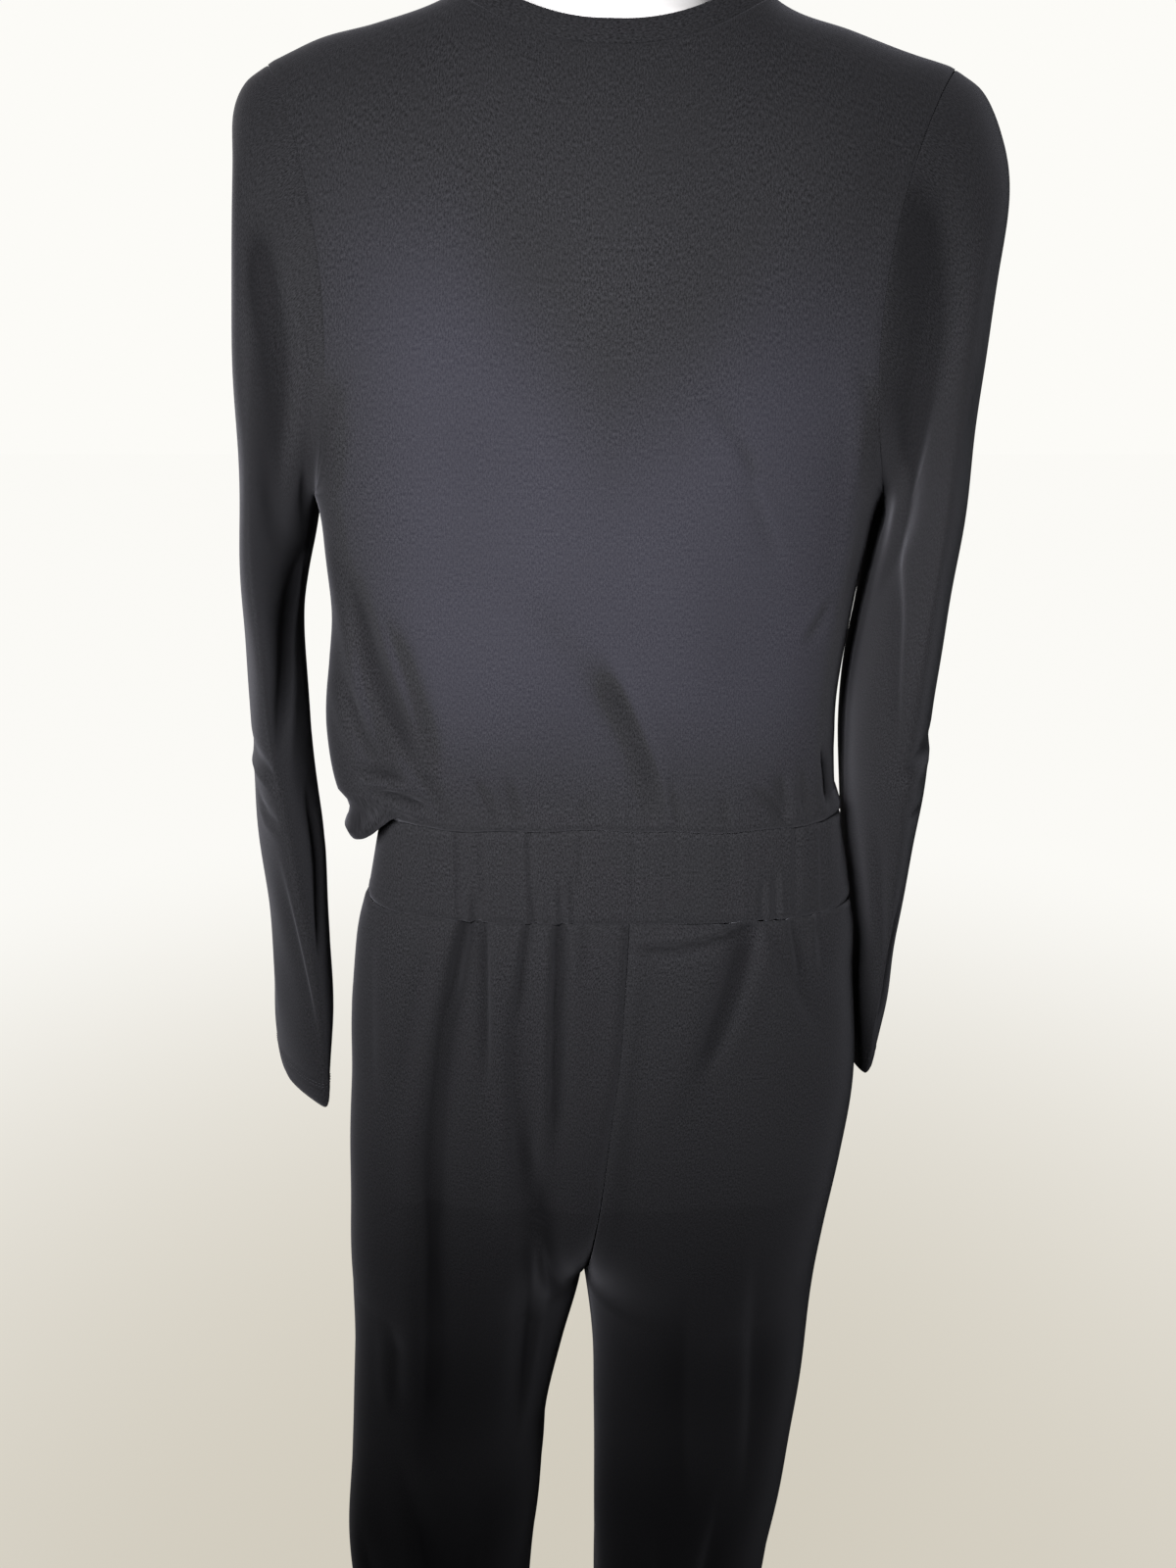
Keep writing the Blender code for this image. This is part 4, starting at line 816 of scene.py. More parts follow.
front, halves, centre = front_points(places)
across = walk(front, 1)
from_v = np.where(np.arange(len(halves)) > centre, across - across[:, centre + 1:centre + 2],
                  across[:, centre:centre + 1] - across)
below_v = np.maximum(front[V_ROW, centre, 2] - front[..., 2], 0)
seams = [walk(front, 0), walk(front, 0, "last"), across, walk(front, 1, "last"),
         np.hypot(from_v, below_v)]
join = np.arange(front.shape[0] * front.shape[1])
doubled = np.arange(V_ROW + 1) * front.shape[1] + centre + 1
join[doubled] = doubled - 1
shell = raise_cloth(front, bodice_rise(front, halves, FRONT_CREASES, seams, 2.9), 1)
piece = add_cloth("front_bodice", shell, 1, jersey, skip=centre, joined=join)
finish_cloth("bodice_front")

# ================================================================ neckband
# A strip of jersey folded double, stretched a little and sewn round the whole neck, with a
# mitre at the point of the V.
BAND = 0.0022                # the folded band's thickness
BAND_WIDTH = 0.0115
BAND_LAYER = 0.0010          # each of its two layers
BAND_OVERLAP = 0.0009        # how far it lies over the panels' turned-in edges
BAND_LIFT = 0.0004           # how far the thicker band stands out from the panels
BAND_STAND = 0.60            # how steeply it rises from the shoulders, 0 at the V's point
BAND_ROUND = 3.2             # power of its rounded section
BAND_SIDES = 28
NECK_TURN = 4                # how soon the wall stands upright towards a neck point
NORMAL_PASSES = 6            # times that the band's facing is evened along its length


def neck_line():
    """Points and outward normals clockwise round the neck seam, from the left neck point."""
    neck = int(np.argmin(np.abs(places + neck_place())))
    behind = back[-1, neck:len(places) - neck][::-1]
    facing = torso_normal(behind[:, 0], behind[:, 2], "back")
    side = np.abs(places[neck:len(places) - neck][::-1]) / neck_place()
    facing[:, 1] *= np.clip((1 - side) * NECK_TURN, 0, 1)
    normals = [grid_normals(front[:, :centre + 1]), grid_normals(front[:, centre + 1:])]
    row_step = ARMHOLE_STEPS / ARMHOLE_ROWS
    upright = np.clip((len(front) - 1 - np.arange(len(front))) * row_step / 2, 0, 1)
    for half in normals:
        half[..., 1] *= upright[:, None]
    down, up = slice(len(front) - 2, V_ROW, -1), slice(V_ROW, len(front) - 1)
    line = np.concatenate([behind, front[down, centre], front[up, centre + 1]])
    facing = np.concatenate([facing, normals[0][down, -1], normals[1][up, 0]])
    for _ in range(NORMAL_PASSES):
        facing = unit(facing + (np.roll(facing, 1, axis=0) + np.roll(facing, -1, axis=0)) / 2)
    return line, facing


def band_points(line, facing):
    """The band's surface: a rounded oblong section carried round the neck seam.

    The section is a superellipse, BAND_WIDTH wide and BAND thick, whose inner side lies on
    the seam. At the V's point it is as wide as the mitre.
    """
    rise = np.array([0.0, 0.0, 1.0])
    along = unit(np.roll(line, -1, axis=0) - np.roll(line, 1, axis=0))
    point = int(np.argmin(line[:, 2]))
    span = np.max(line[:, 2]) - line[point, 2]
    stand = BAND_STAND * ((line[:, 2:] - line[point, 2]) / span) ** 2
    inward = unit(np.cross(facing, along) + stand * rise)
    inward[point] = rise
    width = np.full((len(line), 1), BAND_WIDTH)
    width[point] = BAND_WIDTH / math.sin(math.atan2(neck_point("left"), span))
    turn = np.linspace(-math.pi, math.pi, BAND_SIDES + 1)[1:-1]
    power = 2 / BAND_ROUND
    over, out = signed_power(np.cos(turn), power), signed_power(np.sin(turn), power)
    across = (width + BAND_OVERLAP) * (1 + over) / 2 - BAND_OVERLAP
    depth = BAND_LIFT - BAND / 2 * (1 - out)
    return (line[:, None] + inward[:, None] * across[..., None]
            + facing[:, None] * depth[None, :, None])


line, facing = neck_line()
ring = band_points(line, facing)
band_index = np.arange(ring.shape[0] * ring.shape[1]).reshape(ring.shape[:2])
piece = add_cloth("folded_neckband", np.concatenate([ring, ring[:1]]), 1, jersey, BAND_LAYER,
                  joined=np.concatenate([band_index, band_index[:1]]).ravel())
finish_cloth("neckband")

# ================================================================ sleeves
# Two long set-in sleeves, each one tube with a seam underneath. They hang empty: oval at
# the top, flat with soft edges further down, and end in a narrow turned hem.

# Rings from the armhole (0) down: where the outer and inner ends lie, the depth (y) of the
# middle, half the ring's depth, its turn in degrees, and the share of the armhole's inset.
SLEEVE = {
    "left": table("""
        ring outer_side outer_height inner_side inner_height middle half_depth turn inset
         0 .1896  1.482  .177 1.255  .02  .06  0   1
         1 .2033 1.4735 .1806 1.249  .02 .064  0 .75
         2  .211  1.459 .1845  1.24  .02 .067  0  .5
         3 .2124  1.438 .1878 1.228  .02  .07  0 .28
         4 .2135   1.39 .1913 1.213  .02 .072  0 .12
         5 .2173   1.33 .1945 1.193  .02 .073  2 .04
         6 .2226  1.262 .1965  1.17  .02 .073  4   0
         7 .2271  1.195  .196  1.14  .02 .071  6   0
         8  .231  1.132  .195 1.103 .021 .068  8   0
         9  .232  1.074  .193 1.063 .023 .063 11   0
        10  .231  1.025 .1902  1.02 .025  .06 15   0
        11 .2295   .968 .1901  .966 .027 .055 20   0
        12 .2283    .92 .1947   .92 .028 .051 26   0
        13 .2272    .88 .2013   .88 .029 .048 30   0
        14  .225   .854  .207  .854  .03 .046 32   0
    """),
    "right": table("""
        ring outer_side outer_height inner_side inner_height middle half_depth turn inset
         0 .1868 1.4796  .161 1.255   .02  .06 0   1
         1  .204  1.469 .1656 1.249   .02 .064 0 .75
         2 .2145   1.45  .168  1.24   .02 .067 0  .5
         3 .2194  1.425  .166 1.228   .02  .07 0 .28
         4 .2177  1.385  .163 1.213   .02 .072 0 .12
         5 .2134  1.326  .159 1.193   .02 .073 0 .04
         6 .2099  1.262 .1555  1.17   .02 .073 0   0
         7 .2074  1.195  .153 1.138  .018 .071 0   0
         8 .2062  1.132 .1525   1.1  .014 .068 0   0
         9 .2051  1.074 .1566 1.061  .008 .063 0   0
        10 .2035  1.025  .161  1.02     0 .059 0   0
        11 .2021   .968 .1705  .966 -.012 .055 0   0
        12 .2026   .913 .1732  .913 -.025 .051 0   0
        13 .2015    .87 .1755   .87 -.037 .048 0   0
        14  .198   .838 .1795  .838 -.045 .046 0   0
    """),
}
SLEEVE_FLATNESS = 1.25       # above 1 the empty sleeve closes to a soft edge front and back
SLEEVE_FLAT_FROM = 3         # ring from which the sleeve is flattened
SLEEVE_FLAT_RINGS = 3        # rings over which it turns fully flat
SLEEVE_TUCK = 0.0008         # how far a sleeve runs on under the armhole's edge
SLEEVE_SHARE = 2.5           # rings over which the armhole's own line is shared out
SLEEVE_AROUND, SLEEVE_RINGS = 110, 150
HEM_DEPTH = 0.020            # turned-up hem, held by two rows of stitches
HEM_STEP = 0.0006            # how much thicker the hem looks
HEM_EASE = 0.0025            # half the width of that step
TWIN_NEEDLES = 0.0045        # between the two rows of stitches
STITCH_GROOVE, STITCH_PULL = 0.0016, 0.7   # half width of their grooves, and depth over step

# Creases of a sleeve lie on its cloth laid flat: the first side is how far round the cloth
# it starts, from the underarm seam over the back (a quarter turn is 75), and then height.
SLEEVE_GIRTH = 0.300
LAPS = (-SLEEVE_GIRTH, 0, SLEEVE_GIRTH)    # a crease may run on over the seam
SLEEVE_CREASES = {
    "left": crease_rows("""
         95 1390  34 1236  4 4.8 6.2  -.2
         54 1334  14 1238 -3 3.2 6.2   .2
        100 1455  88 1340  3 1.8   9   .2
         10 1210  60 1090  4 2.6   8 -.25
        135 1100  70 1086  3   3   5  .35
        120 1068  80 1060 -3 1.8   5   .3
         30 1060  60  960  4   2   8   .2
        100 1020  85  900 -3 1.8   8  -.2
        222 1410 240 1190 -6   4   8   .3
        256 1300 284 1225  3 3.2   6  -.3
        200 1450 206 1330 -3 1.8   9  -.2
        175 1096 228 1080 -3 2.8 5.5   .3
        268 1060 236  950  4   2   8   .2
    """),
    "right": crease_rows("""
         96 1430  30 1252 -8 4.2 8.5 .15
         74 1452  40 1330  4 1.8 7.5 -.1
         50 1300  22 1200  3   3   6 -.3
        110 1400 100 1250  3  .8  11  .1
         28 1220  58 1090 -4 2.4   8 .25
        128 1104  60 1084  3 2.4   6  .3
        110 1060  70 1066 -2 1.6   5 -.3
         44 1040  66  920  3   2   8 -.2
        100  990  92  870  2 1.6   8  .2
        206 1430 262 1252  8   5   8 -.3
        230 1330 272 1210 -3 2.8 6.5  .3
        180 1100 232 1082 -3 2.6 5.5 -.3
        260 1050 238  930  3   2   8  .2
    """),
}


def armhole_line(sleeve, angle):
    """The armhole's line round from the armpit over the back and down the front."""
    sign = 1 if sleeve == "left" else -1
    step = ARMHOLE_STEPS * (1 - np.abs(1 - angle / math.pi))
    behind_x, behind_z = armhole_edge(sleeve, "back", step)
    before_x, before_z = armhole_edge(sleeve, "front", step)
    climb = np.clip((step - V_STEP) / (ARMHOLE_STEPS - V_STEP), 0, 1) ** SHOULDER_EASE
    before_z = before_z + (ridge_height(sign * before_x) - before_z) * climb
    on_back = angle <= math.pi
    x = sign * np.where(on_back, behind_x, before_x)
    z = np.where(on_back, behind_z, before_z)
    y = np.where(on_back, *(torso_depth(x, z, face) for face in ("back", "front")))
    return np.stack([x, y, z], axis=-1)


def sleeve_oval(sleeve, ring, angle):
    """Ovals between the sleeve's outer and inner lines, at ring numbers down its table.

    An oval's half widths come from the table. Further down its ends are pinched by a power
    of the height, and it is turned about the upright.
    """
    sign = 1 if sleeve == "left" else -1
    at = {name: read(SLEEVE[sleeve], name, ring) for name in SLEEVE[sleeve]}
    flat = np.clip((ring - SLEEVE_FLAT_FROM) / SLEEVE_FLAT_RINGS, 0, 1)
    up, behind = -np.cos(angle), np.sin(angle)
    lens = signed_power(up, 1 + (SLEEVE_FLATNESS - 1) * flat)
    across = (at["outer_side"] - at["inner_side"]) / 2 * lens
    along = at["half_depth"] * behind
    turn = np.radians(at["turn"])
    x = (at["outer_side"] + at["inner_side"]) / 2
    x = x + across * np.cos(turn) - along * np.sin(turn)
    y = at["middle"] + across * np.sin(turn) + along * np.cos(turn)
    z = (at["outer_height"] + at["inner_height"]) / 2
    z = z + (at["outer_height"] - at["inner_height"]) / 2 * lens
    x = x - ARMHOLE[sleeve]["front_inset"] * at["inset"] * np.abs(behind) ** ARMHOLE_CURVE
    return np.stack([sign * x, y, z], axis=-1)


HEM_STITCHES = (HEM_DEPTH, HEM_DEPTH - TWIN_NEEDLES)


def hem_rise(distance):
    """Rise of a turned hem: a low step, two grooves at its stitches and a rounded edge."""
    step = HEM_STEP * (1 - ease(distance, HEM_DEPTH - HEM_EASE, HEM_DEPTH + HEM_EASE))
    groove = -STITCH_PULL * HEM_STEP * sum(
        np.exp(-((distance - row) / STITCH_GROOVE) ** 2) for row in HEM_STITCHES)
    return step + groove - SEAM_DIVE * np.exp(-(distance / SEAM_ROUND) ** 2)


# Where each part of a sleeve's relief comes in: distances from the armhole, or from the hem.
CREASE_IN, CREASE_HEM = (0.004, 0.030), (0.0, 0.050)
UNDER_SEAM_IN, SLEEVE_SLACK_IN = (0.0, 0.010), (0.0, 0.040)
TUCK_DEPTH, TUCK_REACH = 0.7 * JERSEY, 0.0016    # how deep the armhole edge lies, how far in
UNDER_SEAM, SLEEVE_SLACK = 0.7, 0.8    # height of the underarm seam and slack, as shares


def sleeve_points(sleeve, sign):
    """A sleeve's grid, its rise and how far round the cloth each column is.

    The difference between the armhole's real line and the first oval is shared out over the
    first rings, so that the cap rounds over smoothly.
    """
    angle = 2 * math.pi * np.arange(SLEEVE_AROUND) / SLEEVE_AROUND
    last_ring = SLEEVE[sleeve]["ring"][-1]
    ring = last_ring * np.linspace(0, 1, SLEEVE_RINGS)[:, None]
    points = sleeve_oval(sleeve, ring, angle)
    short = armhole_line(sleeve, angle) + np.array([-sign * SLEEVE_TUCK, 0, 0]) - points[0]
    left_over = np.clip(1 - ring / SLEEVE_SHARE, 0, 1) ** 2
    points = points + short * left_over[..., None]
    around = np.broadcast_to(angle / (2 * math.pi) * SLEEVE_GIRTH, points.shape[:2])
    from_armhole, from_hem = walk(points, 0), walk(points, 0, "last")
    rise = sum(crease_rise(around + lap, points[..., 2], SLEEVE_CREASES[sleeve])
               for lap in LAPS)
    rise = rise * ease(from_armhole, *CREASE_IN) * ease(from_hem, *CREASE_HEM)
    seam = np.minimum(around, SLEEVE_GIRTH - around)
    rise = rise + seam_rise(from_armhole) * (1 - ARMHOLE_SOFTNESS) + hem_rise(from_hem)
    rise = rise - TUCK_DEPTH * ease(from_armhole, TUCK_REACH, 0.0)
    rise = rise + seam_rise(seam) * ease(from_armhole, *UNDER_SEAM_IN) * UNDER_SEAM
    slack = slack_rise(np.abs(around - SLEEVE_GIRTH / 2), points[..., 2], 1.3 * sign)
    rise = rise + SLEEVE_SLACK * slack * ease(from_armhole, *SLEEVE_SLACK_IN)
    return points, rise, around


# Sewing thread: black spun polyester. It is smoother than the nap, so it glints a little.
STITCH_PITCH, STITCH_LENGTH, THREAD = 0.0030, 0.0025, 0.00028
BEAD_SIDES = 6
tree, shader, thread = new_material("black polyester sewing thread")
strand = add_node(tree, "ShaderNodeTexCoord").outputs["Object"]
twist = add_node(tree, "ShaderNodeTexNoise", {"Vector": strand, "Scale": 900.0, "Detail": 2.0})
tree.links.new(blend_colours(tree, twist.outputs["Fac"], "#1d1d1f", "#3a3a3e"),
               shader.inputs["Base Color"])
shader.inputs["Roughness"].default_value = 0.55


def along_line(at, reach, line):
    """Points of a line at the given distances along it."""
    return np.stack([np.interp(at, reach, line[:, i]) for i in range(3)], axis=-1)


def stitch_row(name, line, facing):
    """One row of thread: flat little beads laid end to end along a line, as one mesh.

    Each bead is a ring of BEAD_SIDES points, stretched to a point at both of its ends.
    """
    reach = np.concatenate([[0], np.cumsum(np.linalg.norm(np.diff(line, axis=0), axis=1))])
    count = int(reach[-1] / STITCH_PITCH)
    at = (np.arange(count) + 0.5) * reach[-1] / count
    centre, up = along_line(at, reach, line), unit(along_line(at, reach, facing))
    along = unit(along_line(at + STITCH_PITCH / 4, reach, line)
                 - along_line(at - STITCH_PITCH / 4, reach, line))
    side = unit(np.cross(up, along))
    turn = 2 * math.pi * np.arange(BEAD_SIDES)[:, None] / BEAD_SIDES
    ring = (centre[:, None] + side[:, None] * np.cos(turn) * THREAD
            + up[:, None] * np.sin(turn) * THREAD)
    tips = centre[:, None] + along[:, None] * np.array([-0.5, 0.5])[:, None] * STITCH_LENGTH
    points = np.concatenate([ring, tips - up[:, None] * THREAD], axis=1)
    first = np.arange(BEAD_SIDES)
    second, back_tip = (first + 1) % BEAD_SIDES, np.full(BEAD_SIDES, BEAD_SIDES)
    faces = np.concatenate([np.stack([first, second, back_tip + 1], axis=1),
                            np.stack([second, first, back_tip], axis=1)])
    faces = faces[None] + points.shape[1] * np.arange(count)[:, None, None]
    mesh = bpy.data.meshes.new(name)
    mesh.from_pydata(points.reshape(-1, 3).tolist(), [], faces.reshape(-1, 3).tolist())
    return new_piece(name, mesh, thread)


def hem_stitches(name, grid, facing, from_hem):
    """Two rows of stitches along a hem, at the hem's depth and a needle's width below it."""
    rows = []
    for number, depth in enumerate(HEM_STITCHES):
        row = int(np.argmin(np.abs(from_hem - depth)))
        rows.append(stitch_row(f"{name}_stitches_{number + 1}",
                               grid[row] + facing[row] * THREAD / 2, facing[row]))
    return rows


UNDERARM_SHADE = 0.85        # the cloth under the arm faces the body and stays dark
UNDERARM_REACH = (0.026, 0.008)    # distances from its seam between which the shade comes in
UNDERARM_UP = (1.09, 1.15)         # and heights, going up
for sleeve, sign in (("left", 1), ("right", -1)):
    points, rise, around = sleeve_points(sleeve, sign)
    shell = raise_cloth(points, rise, sign, closed=True)
    height, from_seam = points[..., 2], np.minimum(around, SLEEVE_GIRTH - around)
    tone_map = -UNDERARM_SHADE * ease(from_seam, *UNDERARM_REACH) * ease(height, *UNDERARM_UP)
    tone_map = tone_map - sum(fold_shade(around + lap, height, SLEEVE_CREASES[sleeve])
                              for lap in LAPS)
    piece = add_cloth(f"{sleeve}_sleeve", shell, sign, jersey, closed=True, tone=tone_map)
    whole, facing = (np.concatenate([grid, grid[:, :1]], axis=1)
                     for grid in (shell, grid_normals(shell, True) * sign))
    rows = hem_stitches(f"{sleeve}_sleeve_hem", whole, facing, walk(points, 0, "last")[:, 0])
    finish_cloth(f"sleeve_{sleeve}")

# ================================================================ waistband
# A casing of jersey folded double over wide elastic, ruched front and back. Its channels
# are uneven, and deepest where the cloth above and below is gathered into it.
CASING = 0.0024              # thickness of the folded casing
CASING_AROUND, CASING_ROWS = 270, 32
RUCHE_SPACING, RUCHE_HEIGHT = 0.0125, 0.0004
CASING_TUCK = 0.0022         # how far the casing runs on under bodice and trousers
CASING_DIVE = 0.0024         # and how deep it lies there
CASING_CALM = (0.0, 0.010)   # distances from its side seams between which channels come in
CHANNELS = {
    "back": crease_rows("""
          133 1080    131  980 .5  .9   3  .15
          112 1080  110.5  990 .6 1.2 2.2  .15
         95.5 1080   94.5  985 .4 1.7 2.1  .15
         78.5 1070     78  980 .4 1.4 2.1 -.15
           86 1017     85  990  0 2.4 2.2   .3
         81.5 1013     82  990  0   2 1.8  -.3
         50.5 1080   47.5  985 -1 1.8 2.2  .15
           46 1018   45.5  990  0 2.2   2  -.3
           32 1022     30  990  0 2.4 2.1   .3
           25 1028   23.5  990  0 2.2   2   .3
           19 1060   20.5 1000  0  .9 2.4  .15
          -12 1065    -13 1000 .5  .5   3  .15
          -40 1080    -42 1010  0  .6   3 -.15
          -70 1075    -72 1000 .5  .7 2.8  .15
        -93.5 1022  -95.5  990  0 2.2 2.1  -.3
         -102 1028 -104.5  990  0 2.1   2  -.3
         -112 1075 -114.5  995 .3 1.2 2.4  .15
         -130 1080   -133  985 .5 1.1 2.8  .15
    """),
    "front": crease_rows("""
         132 1080  134  985  0 1.2 2.8  .15
         114 1080  112  980 .8 1.6 2.2 -.15
         101 1022  100  990  0 2.2 2.1   .3
          81 1080   79  990  0 1.5 2.4  .15
          76 1018   75  990  0   2   2  -.3
          60 1070   63  985 .6 1.1 2.4 -.15
          44 1080   42  980  0 1.6 2.2  .15
          22 1080   24 1000  0  .8 2.8  .15
           1 1065   -2  985  0  .9 2.6 -.15
         -19 1080  -18  990  0   1 2.6  .15
         -38 1080  -41  980 .6 1.7 2.2 -.15
         -48 1020  -49  990  0 2.1   2   .3
         -62 1070  -60  990  0 1.1 2.4  .15
         -79 1080  -82  980  0 1.7 2.2  .15
         -87 1016  -88  990  0   2   2  -.3
        -101 1080  -99  990 .5 1.2 2.4 -.15
        -117 1080 -120  980  0 1.5 2.4  .15
        -134 1080 -133  990  0 1.1 2.8 -.15
    """),
}


def waistband_points(face):
    """Half of the casing: superellipse sections, wider downwards, over a half turn."""
    power = SQUARENESS[face]
    height = np.linspace(WAIST_BOTTOM - CASING_TUCK, WAIST_TOP + CASING_TUCK, CASING_ROWS)[:, None]
    turn = np.linspace(-math.pi / 2, math.pi / 2, CASING_AROUND + 1)
    at = np.sin(turn)
    middle, reach, left, right = (read(WAISTBAND, name, height)
                                  for name in ("side", face, "left", "right"))
    y = middle + (reach - middle) * np.clip(1 - np.abs(at) ** power, 0, 1) ** (1 / power)
    x = spread(at, left, right)
    share = (height - WAIST_BOTTOM) / (WAIST_TOP - WAIST_BOTTOM)
    z = height + waist_wander(x, face) * share
    return np.stack([x, y, z], axis=-1)


for face, outward, seed in (("back", -1, 1.7), ("front", 1, 4.1)):
    points = waistband_points(face)
    sides = [walk(points, 1), walk(points, 1, "last")]
    ends = np.minimum(walk(points, 0), walk(points, 0, "last")) - CASING_TUCK
    rise = crease_rise(points[..., 0], points[..., 2], CHANNELS[face])
    rise = rise + RUCHE_HEIGHT * ripple(points[..., 0], RUCHE_SPACING, seed)
    rise = rise * ease(np.minimum(*sides), *CASING_CALM)
    rise = rise + sum(seam_rise(side) for side in sides) + seam_rise(np.maximum(ends, 0))
    rise = rise - CASING_DIVE * ease(ends, 0.0, -CASING_TUCK)
    shell = raise_cloth(points, rise, outward)
    piece = add_cloth(f"waist_casing_{face}", shell, outward, jersey, thickness=CASING)
    finish_cloth(f"waistband_{face}")

# ================================================================ trousers
# Four panels of the same jersey, gathered into the waistband and sewn at the sides, down
# the inner legs and along the centre seam, which runs under the body to the crotch.
LEG_TOP = 1.0002
SEAT_TOP = 0.8300            # from here down the sections round off towards the two legs
CROTCH_HEIGHT, HEM_HEIGHT = 0.6750, 0.0700
LEG_SQUARENESS = 2.3

# As on the bodice, with seam for how far to the left the centre seam lies. A leg's outer and
# inner edges are side distances on its own side of the middle, below 0 where they lie past it.
HIP = table("""
    height left right back front side seam
    1.0002   .16  .159 .0965 -.0985 .025  -.011
      .979 .1668 .1635    .1  -.101 .023   -.01
       .95  .173  .165  .102  -.103  .02 -.0085
      .907   .18 .1675  .103  -.104 .016  -.006
       .86 .1825  .169  .101  -.102 .012  -.001
        .8 .1868 .1668  .096  -.098 .008   .005
       .74 .1893 .1618  .089  -.091 .004  .0125
      .675  .193  .159  .081  -.083    0  .0185
""")
LEG = table("""
    height left_outer left_inner right_outer right_inner back front side
    .675  .193 .0187  .159 -.0183  .081  -.083     0
     .66 .1943 .0212  .158 -.0164  .079  -.081     0
    .603 .1985  .035 .1535 -.0108 .0735 -.0765     0
    .545  .203 .0475 .1492 -.0098  .068  -.072     0
    .465  .209 .0545  .143 -.0092  .062  -.067     0
      .4  .212  .061 .1375 -.0092  .058  -.063     0
     .24  .211  .072  .122 -.0096   .05  -.055 -.001
     .07   .21  .085   .11 -.0104  .043  -.048 -.002
""")
LEG_ACROSS = {"back": 156, "front": 96}
LEG_ROWS, SEAT_ROWS, HIP_ROWS = 134, 40, 54
LEG_CREASES = {
    "back": crease_rows("""
          92 1004  124  780 -5    5   8   .3
          90 1006  104  935 -1    4 3.4   .2
         123  840  136  560  3  4.2 9.5  .25
          78 1006   80  880  1  3.6 3.4  -.2
          51 1006   59  935 -1  3.6 3.2   .2
          60  950   56  790 -3  2.6   6  .25
          53  840   70  560  6  4.4   7  -.3
          33 1006   37  830 -1  6.6 4.2  .25
          45  820   28  690 -6    5   7   .3
          68  985   70  700  0 -1.6   8    0
          18 1004   16  960  0  1.6   4   .3
         110  990  142  860 -3  1.8   9   .2
         152  985  160  860 -2    1   8  -.1
         155  664  160  590  0  2.2   6   .3
         -14  985  -93 1003 -6  3.4 3.4  -.6
         -89 1004  -56  890  3  3.6 8.5  -.4
         -96 1004 -142  915 -3  2.4   9  .25
         -80  986  -34  840  4  1.6  12   .2
         -12  944   -4  880  1  1.4   6   .2
          -8  900    4  740  3  2.4   7   .2
        -112 1002 -122  955  0    2 4.5   .3
        -130 1002 -136  960  0  1.6 4.5   .3
        -102  740 -108  500  2    3  12   .2
         -52  720  -60  470 -3  2.6  13  -.2
         150  500  128  200  4  3.4  11  .25
         104  460  112  180 -4    3  11 -.25
         190  420  176  240  3  2.2   8  .25
         -86  480  -66  200 -4  3.4  11  .25
         -34  420  -42  160  3  2.8  10 -.25
         120  190  170  140  4  2.2 8.5  .25
         -90  200  -40  130  4  2.2 8.5  .25
    """),
    "front": crease_rows("""
         112 1004  120 780 -4 4.8  7.5   .3
          79 1004   92 700  4 5.2    8  -.3
          44 1004   54 790 -3 4.4  6.5   .3
          98 1004  102 940  0 2.2  4.5   .3
          22 1004   20 930  0   2    5  .25
         140  990  152 850 -3 2.6  7.5  .25
         -41 1004  -52 780  3 4.8    7  -.3
         -79 1004  -86 720 -4 4.8    8   .3
        -113 1004 -117 830  3   4  7.5   .3
         -60 1004  -62 930  0 2.2  4.5   .3
        -134  996 -140 880  2 2.2  6.5 -.25
          30  800  110 690 -8   3  8.5   .3
          -6  790  -70 690  8   3  8.5  -.3
         124  740  142 420  6 4.2   11  .25
          70  640   90 340 -5 3.4   10 -.25
         -88  700  -74 390 -6   4   11  .25
         -40  620  -46 360  4   3   10 -.25
         150  400  132 160  4 3.4 10.5  .25
         -86  380  -66 150 -4 3.2 10.5  .25
         176  170  120 130 -4 2.2    8  .25
         -30  170  -84 130 -4 2.2    8  .25
    """),
}
LEG_GATHER, LEG_GATHER_REACH = 0.0008, 0.014
LEG_CALM = (0.0, 0.016)      # distances from a seam between which creases and slack come in
LEG_HEM_CALM = (0.0, 0.045)  # and from the hem, for creases
LEG_SLACK, LEG_SLACK_LONG = 1.2, 0.6   # the slack's depth; below 1 it is longer downwards


